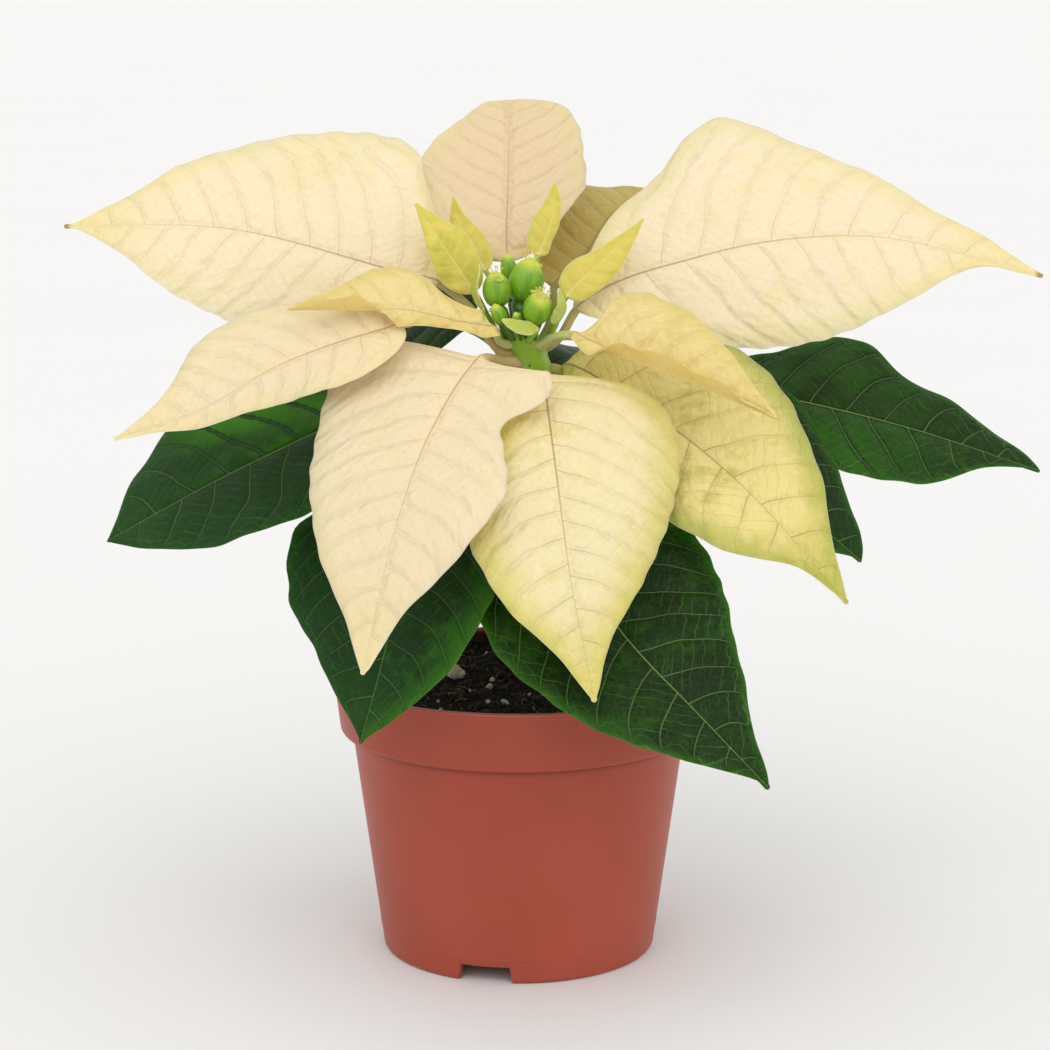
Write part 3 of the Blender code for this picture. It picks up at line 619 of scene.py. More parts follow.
def pot_plastic(colour):
    """Moulded terracotta-coloured plastic: faint flow clouds, fine orange peel, a few dry scuffs, painted
    shade under the collar, a painted highlight along the lip, and near-black painted shade on the inner side
    of the collar, which is where the distance from the axis is less than the collar's mean."""
    n = Nodes("terracotta_plastic")
    where = n.place()
    clouds = n.noise(where, 22, 4)
    grain = n.noise(where, 900, 2)
    scuffs = n.step(n.noise(n.place((1, 1, 0.25)), 160, 6, 0.7, 0.6), 0.60, 0.74)
    body = n.mix(n.step(clouds, 0.3, 0.7), toned(colour, 0.95), toned(colour, 1.04, 0.004))
    body = n.mix(scuffs * 0.10, body, toned(colour, 1.2, 0.05))
    from_axis = n.add("VectorMath", {0: where, 1: tuple(POT_AXIS)}, operation="SUBTRACT")[0]
    x, y, z = (part / MM for part in n.split(from_axis))
    slope = COLLAR_TAPER / COLLAR_HEIGHT
    depth = z * slope + (COLLAR_FOOT_RADIUS - slope * LEDGE_HEIGHT) - n.math("POWER", x * x + y * y, 0.5)
    inside = n.step(depth, 0.5 * WALL, 0.8 * WALL) * n.step(z, LEDGE_HEIGHT + 2, LEDGE_HEIGHT + 3)
    # painted shade: the collar's inner wall above the soil made near black, as in the shade under the leaves
    inner_shade = inside * n.step(z + clouds, POT_HEIGHT, POT_HEIGHT - 1)
    body = n.mix(inner_shade * 0.92, body, linear(INNER_WALL_SHADE))
    # painted shade: a dark band on the body just under the collar and on the collar's underside, where the
    # collar's shadow falls
    dust_and_shade = n.step(z, LEDGE_HEIGHT - 2.4, LEDGE_HEIGHT) * n.step(z, LEDGE_HEIGHT + 0.5, LEDGE_HEIGHT)
    body = n.mix(dust_and_shade * 0.55, body, toned(colour, 0.35))
    # painted highlight: a paler band along the top of the lip
    body = n.mix(n.step(z, POT_HEIGHT - 0.9, POT_HEIGHT - 0.2) * 0.4, body, toned(colour, 1.5, 0.1))
    roughness = clouds * 0.12 + 0.36 + scuffs * 0.12
    return n.surface(body, roughness, grain + clouds * 0.8, 0.00004, 0.5, Specular_IOR_Level=0.22)


def potting_soil(colour):
    """Peaty soil: black crumbs with brown bark flecks and grey dust, rough all over."""
    n = Nodes("potting_soil")
    where = n.place()
    flecks = n.step(n.noise(where, 420, 5, 0.75), 0.54, 0.66)
    dust_and_shade = n.step(n.noise(where, 2600, 2), 0.63, 0.70)
    body = n.mix(flecks, colour, linear(BARK_FLECK))
    body = n.mix(dust_and_shade * 0.35, body, linear(GREY_DUST))
    bump = n.noise(where, 300, 6, 0.8) + n.cells(where, 900.0)["Distance"]
    return n.surface(body, 0.92, bump, 0.0008, 0.9, Specular_IOR_Level=0.3)


def grain_material(name, pale, dark):
    """Perlite, bark or root: two tones of one thing, pitted."""
    n = Nodes(name)
    where = n.place()
    body = n.mix(n.step(n.noise(where, 700, 3), 0.35, 0.65), dark, pale)
    return n.surface(body, 0.9, n.cells(where, 2200.0)["Distance"], 0.0002, 0.8)


def stem_skin(green, grey):
    """Stem: bright green at the flower head, greyer and then brown lower down, with purple-black specks."""
    n = Nodes("green_stem")
    height = n.split(n.place())[2] / MM
    patches = n.noise(n.place((1, 1, 0.35)), 260, 4)
    low = n.mix(n.step(height, 78, 115), linear(WOODY_STEM), grey)
    body = n.mix(n.step(height + patches * 12, 150, 172), low, green)
    body = n.mix(n.step(patches, 0.5, 0.7) * 0.45, body, linear(STEM_PATCH))
    speck = n.cells(n.place((1, 1, 0.6)), 620.0)
    chosen = n.math("GREATER_THAN", n.split(speck["Color"])[0], 0.62)
    dots = n.step(speck["Distance"], 0.34, 0.2) * chosen
    body = n.mix(dots * 0.85, body, linear(STEM_SPECK))
    lines = n.noise(n.place((1, 1, 0.06)), 900, 3)
    return n.surface(body, 0.45, lines + dots * 0.6, 0.0002, 0.5, Specular_IOR_Level=0.4)


def bud_skin(green, tip):
    """Bud cup: bright green with darker streaks from foot to mouth, yellow at the mouth, waxy."""
    n = Nodes("cyathium_green")
    rise = n.value("rise")
    streaks = n.noise(n.join(n.value("turn_x"), n.value("turn_y"), rise * 0.35), 3.2, 3, 0.6)
    body = n.mix(n.step(streaks, 0.42, 0.66) * 0.55, green, linear(BUD_STREAK))
    # painted shade: the pedicel and the cup's foot darker green, as in the shade between the buds
    body = n.mix(n.step(rise, 0.20, -0.05), body, linear(BUD_FOOT_SHADE))
    body = n.mix(n.step(streaks * 0.25 + rise, 0.80, 1.12), body, tip)
    return n.surface(
        body, 0.32, streaks, 0.0002, 0.5, Specular_IOR_Level=0.5, Subsurface_Weight=0.25,
        Subsurface_Radius=(0.6, 1.0, 0.2), Subsurface_Scale=0.002,
    )


def waxy(name, pale, dark, size=900.0, roughness=0.4, **constants):
    """Smooth plant tissue in two near tones, for glands, stamens and anthers."""
    n = Nodes(name)
    tone = n.noise(n.place(), size, 3)
    return n.surface(n.mix(n.step(tone, 0.4, 0.6), dark, pale), roughness, tone, 0.0001, 0.4, **constants)


# sRGB codes of the tones that only one material uses
# painted shade, near black, on the pot's inner wall
INNER_WALL_SHADE = "1C120E"
BARK_FLECK = "2C1F18"
GREY_DUST = "6E6052"
WOODY_STEM = "5C5238"
STEM_PATCH = "A9BE6A"
STEM_SPECK = "2A2030"
BUD_STREAK = "4A830C"
# painted shade at the buds' feet and on their pedicels
BUD_FOOT_SHADE = "4A7414"
GREEN_MIDRIB = "769A48"
# painted highlight along the bracts' very edge
BRACT_EDGE_HIGHLIGHT = "FFF1C4"
BRACT_POINT = "8A6A3A"

LOOKS = {
    # body, margins and tip, side veins, under side, petiole; then how strong: veins, midrib, blotches,
    # margins; and how wide the margin's tint is, in millimetres
    "cream": ("EEDABA", "E2D08A", "A0955A", "D5C697", "B0A468", 0.38, 0.76, 0.36, 0.75, 8),
    "blush": ("ECD6B1", "E6D294", "AC8E5C", "DBC497", "C9B07C", 0.26, 0.66, 0.20, 0.60, 6),
    "rose": ("DEC5A2", "DAC489", "AC885A", "D0BB8D", "C9B07C", 0.28, 0.60, 0.15, 0.60, 6),
    "butter": ("F1DEB0", "D3C560", "968A48", "D5C47A", "BFC07A", 0.44, 0.84, 0.36, 0.98, 11),
    "gold": ("E4D093", "D0B75A", "B0964C", "DAC27A", "BFC07A", 0.32, 0.54, 0.35, 0.70, 4),
    "mottled": ("EAD68C", "9FA63A", "7E6E38", "C6B971", "A9A560", 0.60, 0.84, 0.62, 0.90, 9),
    # the olive look is for a greener bract, and its colours are also darkened as painted shade for the bract
    # behind the others
    "olive": ("B7A45A", "A69445", "77663A", "A89858", "8F8A4A", 0.40, 0.60, 0.40, 0.60, 5),
    "lime": ("D6C662", "ABB238", "DEDA8A", "C4BA60", "A0B848", 0.32, 0.60, 0.62, 0.50, 1.6),
    "cup": ("B2BC4E", "C8C873", "9CB84C", "B8C468", "8FB63C", 0.20, 0.30, 0.20, 0.80, 0.7),
    "leaf": ("152A0E", "34700E", "5F7F42", "4A6A3C", "6E8A3C", 0.70, 0.85, 0.25, 0.40, 3),
    "bright_leaf": ("193816", "3F8012", "5C7C44", "4A6A3C", "6E8A3C", 0.50, 0.70, 0.50, 0.60, 8),
}


def vein_masks(n, far):
    """Shares of midrib, side vein, rung and fine net at each point of a blade, and the heights of the
    pillows between them and of small dents.

    The UV map "veins" holds the number of the side vein, as a running count from base to tip, and the
    distance from the midrib in centimetres; "gap" is the distance between side veins in millimetres. Rungs
    cross from one side vein to the next, and near the margin each side vein bends over to the next in a
    loop. A side vein fades to the share far of its strength on its way out, and the midrib on its way to
    the tip.
    """
    counted, centimetres, _ = n.split(n.add("UVMap", {}, uv_map="veins")[0])
    across = centimetres * 10.0
    gap, share, edge = n.value("gap"), n.value("share"), n.value("edge")
    where = n.place()
    fine = n.noise(where, 420, 2)
    count = counted + (n.noise(where, 110, 1) * 0.14 + (fine * 0.03 - 0.085))
    distance = (0.5 - abs(n.fract(count) - 0.5)) * gap
    thin = n.step(edge, 9.0, 1.0) * -0.11 + 0.23
    side = (1.0 - n.step(distance / thin, 0.3, 1.0)) * n.step(edge, 1.0, 2.6)
    arch = abs(n.math("SINE", count * math.pi)) * 2.6 + 1.3
    loop = n.step(abs(edge - arch), 0.17, 0.03) * n.step(across + edge, 6.0, 11.0)
    side = n.most(side, loop * 0.45) * (n.step(across, 14.0, 1.0) * (1.0 - far) + far)
    broad = (1.0 - n.most(share, 0.0)) * 0.30 + 0.12
    mid = 1.0 - n.step(across / broad, 0.5, 1.0)
    mid = mid * (n.step(share, 1.0, 0.0) * (1.0 - 0.7 * far) + 0.7 * far)
    row = n.fract(n.math("FLOOR", count) * 0.618)
    slant = n.fract(count) * gap * 0.7 + across
    rung_far = (0.5 - abs(n.fract(fine * 0.5 + (slant * 0.42 + row)) - 0.5)) * 2.0
    rung = n.step(rung_far, 0.12, 0.03) * n.step(n.noise(where, 95, 1), 0.36, 0.60)
    lattice = n.cells(n.join(count * 4.2, slant * 0.85), 1.0, feature="DISTANCE_TO_EDGE")["Distance"]
    net = 1.0 - n.step(lattice, 0.01, 0.11)
    pillow = n.step(distance, 0.0, 1.7) * n.step(across, 0.0, 1.9)
    pillow = pillow + n.step(rung_far, 0.0, 0.75) * 0.22 + n.step(lattice, 0.0, 0.4) * 0.12
    dents = n.noise(n.join(count * 3.0, across * 0.32), 1.0, 1.5, 0.45)
    return mid, side, rung, net, pillow, dents


def blade_material(look, tint):
    """Leaf tissue: a body colour that turns towards the margin and tip, blotches, veins and a paler
    back, with painted shade in the troughs beside the veins and, on bracts, a painted highlight along the
    very edge. The colours of the look are multiplied by the tint; "glow" tells how far each half takes the
    margin's colour."""
    *codes, vein_share, mid_share, blotch_share, rim_share, rim_width = LOOKS[look]
    body, rim, vein, back, petiole = (tuple(np.minimum(1, np.multiply(linear(c), tint))) for c in codes)
    green = "leaf" in look
    n = Nodes(look + "_blade")
    share, edge, under, glow = n.value("share"), n.value("edge"), n.value("under"), n.value("glow")
    mid, side, rung, net, pillow, dents = vein_masks(n, 0.85 if green else 0.4)
    clouds = n.noise(n.place(), 38, 4, 0.6)
    mottle = n.noise(n.place(), 170, 5, 0.7)
    blotch = n.step(mottle * 0.45 + clouds * 0.55, 0.50, 0.64)
    near_edge = n.step(mottle * (-1.2 * rim_width) + edge, 0.7 * rim_width, -0.8 * rim_width)
    worn = mottle * 0.12 + share
    near_end = n.most(n.step(worn, 0.72, 1.05), n.step(worn, 0.26, 0.06) * 0.5)
    outer = n.most(near_edge * rim_share * glow, near_end * (0.1 if green else 0.8 * rim_share))
    outer = n.most(outer, blotch * blotch_share * glow)
    if green:
        panel = n.step(pillow + dents, 0.6, 1.5) * n.value("panels")
        outer = n.most(outer, panel * n.step(clouds, 0.25, 0.6))
        colour = n.mix(outer, body, rim)
        # painted shade: the body darkened in the troughs beside the veins, where the raised tissue shades
        # them
        colour = n.mix(n.step(pillow, 0.9, 0.3) * 0.3, colour, toned(body, 0.6))
    else:
        colour = n.mix(outer, body, rim)
        # painted shade: the tissue turns towards the vein colour in the troughs and dents, where shade falls
        trough_shade = dents * 0.9 + pillow * 0.6
        colour = n.mix(n.step(trough_shade, 1.0, 0.2) * (0.16 * vein_share), colour, vein)
    lines = n.most(side, rung * (0.5 if green or look == "mottled" else 0.3))
    lines = n.most(lines, net * (0.12 if green else 0.10))
    colour = n.mix(lines * vein_share, colour, vein)
    colour = n.mix(mid * mid_share, colour, linear(GREEN_MIDRIB) if green else vein)
    # on bracts a painted highlight, a pale line along the very edge; on green leaves the under side's colour
    colour = n.mix(n.step(edge, 0.35, 0.05) * 0.3, colour, back if green else linear(BRACT_EDGE_HIGHLIGHT))
    if look == "cream":
        colour = n.mix(n.step(share, 0.978, 0.992) * 0.8, colour, linear(BRACT_POINT))
    behind = n.mix(n.most(mid, side) * 0.4, back, vein)
    colour = n.mix(under, colour, behind)
    colour = n.mix(n.step(share, 0.02, -0.03), colour, petiole)
    height = (mottle * 0.12 + (pillow * 0.45 + dents)) * (under * -0.6 + 1.0)
    relief = 0.0003 if green or look in ("lime", "cup") else 0.0010
    roughness = mottle * 0.15 + (0.38 if green else 0.46)
    return n.surface(
        colour, roughness, height, relief, 0.8,
        Specular_IOR_Level=0.10 if green else 0.3,
        Subsurface_Weight=0.1 if green else 0.4,
        Subsurface_Radius=(0.5, 1.0, 0.2) if green else (1.0, 0.85, 0.5),
        Subsurface_Scale=0.002,
    )


# --- pot --------------------------------------------------------------------------------------------


def outer_radius(height):
    """Outside of the pot's body below the collar: a cone from the base radius to the body's top radius."""
    return BASE_RADIUS + (BODY_TOP_RADIUS - BASE_RADIUS) * height / LEDGE_HEIGHT


def inner_radius(height):
    """Inside of the pot's wall at a height: the outer cone, or the collar's own cone, less the wall."""
    if height < LEDGE_HEIGHT - 1:
        return outer_radius(height) - WALL
    return COLLAR_FOOT_RADIUS + COLLAR_TAPER * (height - LEDGE_HEIGHT) / COLLAR_HEIGHT - WALL


def rounded(corners, steps=5):
    """Outline through corners (radius, height, rounding): each rounded corner P becomes the curve
    (1-t)^2 A + 2t(1-t) P + t^2 B between the points A and B that lie its rounding away on each side."""
    points = np.array([c[:2] for c in corners], float)
    outline = [points[:1]]
    t = np.linspace(0, 1, steps)[:, None]
    for i in range(1, len(points) - 1):
        size = corners[i][2]
        a = points[i] + unit(points[i - 1] - points[i]) * size
        b = points[i] + unit(points[i + 1] - points[i]) * size
        bend = (1 - t) ** 2 * a + 2 * t * (1 - t) * points[i] + t**2 * b
        outline.append(bend if size else points[i : i + 1])
    return np.vstack(outline + [points[-1:]])


def pot_outline():
    """Half section of the pot, from the middle of its underside round the wall to the floor's top."""
    foot_in = BASE_RADIUS - FOOT_WIDTH
    floor = SKIRT_HEIGHT + WALL
    bead = FOOT_BEAD_HEIGHT
    ledge = LEDGE_HEIGHT
    return rounded([
        (2, SKIRT_HEIGHT, 0),
        (foot_in - 8, SKIRT_HEIGHT, 0),
        (foot_in, SKIRT_HEIGHT, 0.5),
        (foot_in, 0, 0.3),
        (BASE_RADIUS, 0, 1.3),
        (outer_radius(bead), bead, 0.2),
        (outer_radius(bead) + 0.16, bead + 0.22, 0.1),
        (outer_radius(bead + 1) + 0.02, bead + 1, 0.3),
        (outer_radius(ledge / 2), ledge / 2, 0),
        (BODY_TOP_RADIUS, ledge, 0.5),
        (COLLAR_FOOT_RADIUS, ledge, 1.5),
        ((COLLAR_FOOT_RADIUS + RIM_RADIUS) / 2 - 0.1, POT_HEIGHT - COLLAR_HEIGHT / 2, 0),
        (RIM_RADIUS - 0.35, POT_HEIGHT - 1.6, 0.3),
        (RIM_RADIUS - 0.05, POT_HEIGHT - 1.2, 0.2),
        (RIM_RADIUS, POT_HEIGHT, 0.35),
        (RIM_RADIUS - WALL - 0.5, POT_HEIGHT, 0.35),
        (inner_radius(POT_HEIGHT - 3), POT_HEIGHT - 3, 0.4),
        (inner_radius(ledge), ledge, 0.5),
        (outer_radius(ledge - 1.2) - WALL, ledge - 1.2, 0.4),
        (inner_radius(floor), floor, 1.0),
        (foot_in - 8, floor, 0),
        (2, floor, 0),
    ])


def notch_rise(turn):
    """Height of the foot's edge at an azimuth: 0, and NOTCH_HEIGHT where the distance round the foot to the
    middle of a notch is less than half its width, with a smooth step at each side."""
    middles = np.radians(NOTCHES_DEG)
    apart = np.abs((turn[:, None] - middles + np.pi) % (2 * np.pi) - np.pi).min(axis=1) * BASE_RADIUS
    return NOTCH_HEIGHT * (1 - ease(NOTCH_WIDTH / 2 - 0.9, NOTCH_WIDTH / 2 + 0.1, apart))


def pot_shape(wave):
    """The outline turned about the axis. The foot is lifted to notch_rise, and the rim waves: height + wave
    x ripple and radius + 1.2 wave x ripple, both growing over the collar."""
    outline = pot_outline()
    sides = np.linspace(-1.3, 0.5, 13) + NOTCH_WIDTH / 2
    near = np.radians(NOTCHES_DEG)[:, None] + np.concatenate([-sides, sides]) / BASE_RADIUS
    turn = np.unique(np.round(np.concatenate([full_turn(264), near.ravel() % (2 * np.pi)]), 5))
    radius, height = outline[:, None, 0], outline[:, None, 1]
    foot = (height < SKIRT_HEIGHT - 0.2) & (radius > BASE_RADIUS - FOOT_WIDTH - 0.4)
    height = np.where(foot, np.maximum(height, notch_rise(turn)), height)
    loose = ease(LEDGE_HEIGHT, POT_HEIGHT, height)
    ring = np.stack([np.cos(turn), np.sin(turn)], axis=1)
    height = height + wave * loose**3 * (ripple(ring, 1.5, 4) - 0.5)
    radius = radius + 1.2 * wave * loose * (ripple(ring, 2.2, 5) - 0.5)
    return tube(polar(radius, turn, height))


def drain_pegs():
    """Upright pegs where the drain holes go, from below the floor to above it, 28 points round."""
    peg = polar(DRAIN_RADIUS, full_turn(28), np.array([[SKIRT_HEIGHT - 2], [SKIRT_HEIGHT + 4]]))
    places = heading_vector(np.array(DRAINS_DEG)) * DRAIN_CIRCLE
    count = len(places)
    return copies(*tube(peg), places, np.tile(np.eye(3), (count, 1, 1)), np.ones((count, 3)))


def cut_out(piece, points, faces):
    """Takes a closed shape out of a piece for good, and keeps creases over 35 degrees sharp."""
    cutter = add_piece("cutter", points, faces, piece.data.materials[0])
    change = piece.modifiers.new("cut", "BOOLEAN")
    change.operation = "DIFFERENCE"
    change.object = cutter
    evaluated = piece.evaluated_get(bpy.context.evaluated_depsgraph_get())
    mesh = bpy.data.meshes.new_from_object(evaluated)
    piece.modifiers.clear()
    piece.data = mesh
    mesh.set_sharp_from_angle(angle=math.radians(35))
    bpy.data.objects.remove(cutter)


# --- soil -------------------------------------------------------------------------------------------


def soil_height(x, y):
    """Top of the soil: a low mound, higher at the back, with lumps 14, 5 and 1.8 mm across."""
    reach = np.hypot(x, y)
    where = np.stack([x, y], axis=-1)
    mound = SOIL_MOUND * (1 - ease(14, 42, reach)) + SOIL_RISE * ease(SOIL_RISE_FROM, SOIL_RISE_TO, y)
    lumps = 0.9 * ripple(where, 14, 11) + 0.55 * ripple(where, 5, 12) + 0.3 * ripple(where, 1.8, 13)
    return SOIL_TOP - 0.4 + mound + lumps


def soil_shape():
    """Rings outwards over soil_height, then down inside the wall and in under the soil."""
    turn = full_turn(230)
    reach = np.linspace(0.5, inner_radius(SOIL_TOP) - 0.25, 105)[:, None]
    top = polar(reach, turn, soil_height(reach * np.cos(turn), reach * np.sin(turn)))
    bottom = SKIRT_HEIGHT + WALL + SOIL_GAP
    side = [
        (inner_radius(LEDGE_HEIGHT + 0.4) - SOIL_GAP, LEDGE_HEIGHT + 0.4),
        (outer_radius(LEDGE_HEIGHT - 0.9) - WALL - SOIL_GAP, LEDGE_HEIGHT - 0.9),
        (inner_radius(bottom + 2) - SOIL_GAP, bottom + 2),
        (inner_radius(bottom) - 1.5, bottom),
    ]
    return tube(np.concatenate([top, [polar(radius, turn, height) for radius, height in side]]))


def lump(seed, rings=4, around=7):
    """Small closed lump of a few dozen faces: a ball whose radius goes from 0.75 to 1.25 by a ripple."""
    tilt = np.linspace(0, np.pi, rings + 2)[1:-1, None]
    ball, faces = tube(polar(np.sin(tilt), full_turn(around), np.cos(tilt)))
    ball[-2:] = [[0, 0, 1], [0, 0, -1]]
    return ball * (1 + 0.25 * ripple(ball, 1.6, seed))[:, None], faces


def strewn(count, size, spread, flat, seed, first=()):
    """Lumps strewn over the soil: the radius is size times e to the spread times a normal number, at most
    2.4 size, and the height is flat times as much. first gives (x, y, radius) of lumps placed one by one."""
    rng = np.random.default_rng(seed)
    reach = (inner_radius(SOIL_TOP) - 1.6) * np.sqrt(rng.uniform(0, 1, count))
    turn = rng.uniform(0, 2 * np.pi, count)
    radius = np.minimum(size * np.exp(spread * rng.normal(size=count)), 2.4 * size)
    x, y = reach * np.cos(turn), reach * np.sin(turn)
    if first:
        x[: len(first)], y[: len(first)], radius[: len(first)] = zip(*first)
    places = np.stack([x, y, soil_height(x, y) + radius * flat * 0.4], axis=1)
    sizes = radius[:, None] * rng.uniform(0.7, 1.15, (count, 3)) * [1, 1, flat]
    turns = spin_matrices(count, rng)
    kinds = [slice(kind, None, 4) for kind in range(4)]
    return joined([copies(*lump(seed + i), places[k], turns[k], sizes[k]) for i, k in enumerate(kinds)])


def fibres(count, seed):
    """Root threads and peat fibres: three-sided tubes 3 to 9 mm long, bowed by a half sine."""
    rng = np.random.default_rng(seed)

    def drawn(low, high):
        """A random number per thread."""
        return rng.uniform(low, high, (count, 1))

    reach = (inner_radius(SOIL_TOP) - 7) * np.sqrt(drawn(0, 1))
    turn, heading = drawn(0, 2 * np.pi), drawn(0, 2 * np.pi)
    length = drawn(3, 9)
    t = np.linspace(0, 1, 7)
    bow = length * drawn(-0.25, 0.25) * np.sin(np.pi * t)
    x = reach * np.cos(turn) + np.cos(heading) * length * (t - 0.5) - np.sin(heading) * bow
    y = reach * np.sin(turn) + np.sin(heading) * length * (t - 0.5) + np.cos(heading) * bow
    z = soil_height(x, y) + 0.25 + drawn(0, 0.5) * np.sin(np.pi * t)
    thin = drawn(0.08, 0.2)[..., None, None]
    side = polar(1.0, heading + np.pi / 2)[:, :, None]
    corner = full_turn(3)[:, None]
    middle = np.stack([x, y, z], axis=-1)[:, :, None]
    tubes = middle + thin * (side * np.cos(corner) + np.array([0, 0, 1.0]) * np.sin(corner))
    points = np.array([tube_points(rings) for rings in tubes])
    return points.reshape(-1, 3), repeated(tube_faces(len(t), len(corner)), *points.shape[:2])


# --- stem -------------------------------------------------------------------------------------------


def stem_shape():
    """Level rings on the leaning axis. Radius = the stem's own + 2% of a five-lobed wave + a swelling at
    each leaf's node, exp(-(rise/2.2)^2) exp(-(turn/0.5)^2), and a domed top, the square root of 1 - x^2."""
    over = np.linspace(DOME_FOOT + 0.6, DOME_FOOT + DOME_HEIGHT - 0.1, 10)
    height = np.concatenate([np.linspace(STEM_AXIS[0][2], DOME_FOOT, 130), over])[:, None]
    turn = full_turn(52)
    middle, radius = stem_at(np.minimum(height[:, 0], STEM_TOP))
    middle[:, 2] = height[:, 0]
    dome = np.sqrt(1 - np.clip((height - DOME_FOOT) / DOME_HEIGHT, 0, 1) ** 2)
    reach = radius[:, None] * (1 + 0.02 * np.cos(5 * turn + height / 15))
    nodes = [(*leaf["node"], leaf.get("stalk", STALK)) for leaf in LEAVES.values()]
    for rise, heading, stalk in nodes + SCARS:
        apart = (turn - math.radians(heading) + np.pi) % (2 * np.pi) - np.pi
        reach = reach + 0.4 * stalk * np.exp(-(((height - rise) / 2.2) ** 2) - (apart / 0.5) ** 2)
    reach = (reach + 0.12 * ripple(polar(1.0, turn, height / 4), 1.5, 21)) * dome
    return tube(middle[:, None] + polar(reach, turn))


# --- leaves -----------------------------------------------------------------------------------------


def midrib_points(leaf):
    """All points of the midrib, from the stem's skin to the tip, how many belong to the petiole, and the
    point inside the stem that the petiole grows from."""
    height, heading = leaf["node"]
    stalk = leaf.get("stalk", STALK)
    lift = math.radians(leaf.get("lift", 10))
    (middle,), (radius,) = stem_at(height)
    away = heading_vector(heading)
    lean = (stem_at(min(height + 1, STEM_TOP))[0] - stem_at(height - 1)[0])[0] / 2
    spread = stalk / (2 * radius) + abs(float(lean @ away) + math.sin(lift))
    start = middle + away * (radius + 0.35 + stalk * spread)
    rise = away * math.cos(lift) + np.array([0, 0, math.sin(lift)])
    petiole = [start, start + rise * 2.2 * stalk, *leaf.get("petiole", [])]
    heel = start - away * (1.2 + stalk * spread)
    return np.array([*petiole, *leaf["blade"]], float), len(petiole), heel


def midrib(leaf, share, on_petiole):
    """Place, side and back directions on the midrib at shares of the petiole or of the blade.

    side is the level direction square to the midrib, back is side x ahead, and both are turned by the roll.
    """
    points, first, _ = midrib_points(leaf)
    knots = along(points)
    t = knots[first] * share if on_petiole else knots[first] + (1 - knots[first]) * share
    place = smooth(knots, points, t)
    before, after = (smooth(knots, points, np.clip(t + step, 0, 1)) for step in (-1e-3, 1e-3))
    ahead = unit(after - before)
    run = points[-1] - points[first]
    heading = math.radians(leaf["face"]) if "face" in leaf else math.atan2(run[1], run[0])
    level = np.array([math.sin(heading), -math.cos(heading), 0.0])
    side = unit(level - (ahead @ level)[:, None] * ahead)
    back = np.cross(side, ahead)
    turn = np.radians(profile(leaf.get("roll", 0), 0 * share if on_petiole else share))[:, None]
    return place, side * np.cos(turn) + back * np.sin(turn), back * np.cos(turn) - side * np.sin(turn)


def half_width(widths, u):
    """Half width of one side: round at the base, running out to a point at the tip."""
    values = np.concatenate([[0.0], widths, [0.0]])
    knots = np.linspace(0, 1, len(values))
    slope = slopes(knots, values)
    slope[0] = 1.3 * values[1] / knots[1]
    slope[-1] = 0
    return smooth(knots, values, u, slope)


def side_veins(leaf, length, share, v, width, seed):
    """Running count of the side veins on the left and on the right half, and the gap between two in mm.

    A vein that leaves the midrib at s0 passes the points where s - width (0.38 v + 0.3 v^3) = s0, v being
    the share of the way to the margin; the count is pairs (s0 / length)^0.9, and the right half runs 0.4
    ahead.
    """
    reach = np.abs(v)
    sweep = ease(0, 0.3, share)
    start = share * length - width * (0.38 * reach * sweep + 0.3 * reach**3 * (0.3 + 0.7 * sweep))
    rate = np.abs(start / length) + 1e-4
    lean = 0.38 * sweep + 0.9 * reach**2 * (0.3 + 0.7 * sweep)
    gap = length / leaf["pairs"] * rate**0.1 / 0.9 / np.sqrt(1 + lean**2)
    where = np.stack(np.broadcast_arrays(share * length, v * width), axis=-1)
    count = leaf["pairs"] * np.sign(start) * rate**0.9 + 0.1 * ripple(where, 22, seed)
    return count + 20, count + 20.4, gap


def blade_relief(leaf, share, v, width, count, length, quilt, seed):
    """Height of a blade above its plain surface: pillows between the side veins, |sin(pi count)|^0.8, a
    crease along the midrib, waves that grow as the square of the way to the margin, and a slow ripple."""
    reach = np.abs(v)
    body = ease(0, 0.1, share) * (1 - ease(0.84, 1, share))
    pillow = np.abs(np.sin(np.pi * count)) ** 0.8 * ease(0, 0.18, reach) * (1 - ease(0.78, 1, reach))
    crease = np.exp(-((v * width / 2.4) ** 2)) * (1 - share) * ease(0, 0.12, share)
    widest = max(*leaf["left"], *leaf["right"])
    tall, many = leaf.get("wave", (min(0.5, 0.04 * widest), 4))
    wave = tall * reach**2 * np.sin(2 * np.pi * many * share + np.where(v < 0, seed, 2.3 * seed))
    where = np.stack(np.broadcast_arrays(share * length, v * width), axis=-1)
    slow = min(0.5, 0.03 * widest) * ripple(where, 26, seed + 50) * ease(0.1, 0.5, reach)
    return body * (quilt * pillow + wave + slow) - 0.45 * crease


def petiole_rings(leaf, v, skin, length, heel):
    """Round rings of the petiole, swollen at its foot, and their shares from -1 to 0. The first ring lies in
    the stem."""
    share = np.linspace(0, 1, max(8, round(length / PETIOLE_RING_GAP)), endpoint=False)
    place, side, back = midrib(leaf, share, True)
    swell = leaf.get("stalk", STALK) * (1 + 0.3 * np.exp(-((share * length / 2.5) ** 2)))[:, None, None]
    turn = (v * np.pi / 2)[None, :, None]
    spoke = side[:, None] * np.sin(turn) + back[:, None] * np.cos(turn) * skin[:, None]
    rings = place[:, None] + swell * spoke
    return np.concatenate([rings[:1] + heel - place[0], rings]), np.concatenate([[-1], share - 1])[:, None]


def blade_width(leaf, share, u, v, length, widest):
    """Half width of the blade at each point, with shallow lobes between the side veins and a round tip."""
    left, right = (half_width(leaf[half], u)[:, None] for half in ("left", "right"))
    width = np.hypot(np.where(v < 0, left, right), leaf.get("stalk", STALK) * (1 - share))
    lobes = np.cos(2 * np.pi * leaf["pairs"] * share**0.9 + np.where(v < 0, 0, 2.5))
    width = width * (1 - LOBE_DEPTH * lobes * ease(0.1, 0.25, share))
    end = min(TIP_ROUNDING, 0.1 * widest)
    rest = np.minimum((1 - share) * length, end)
    return np.maximum(width, np.sqrt(rest * (2 * end - rest)))


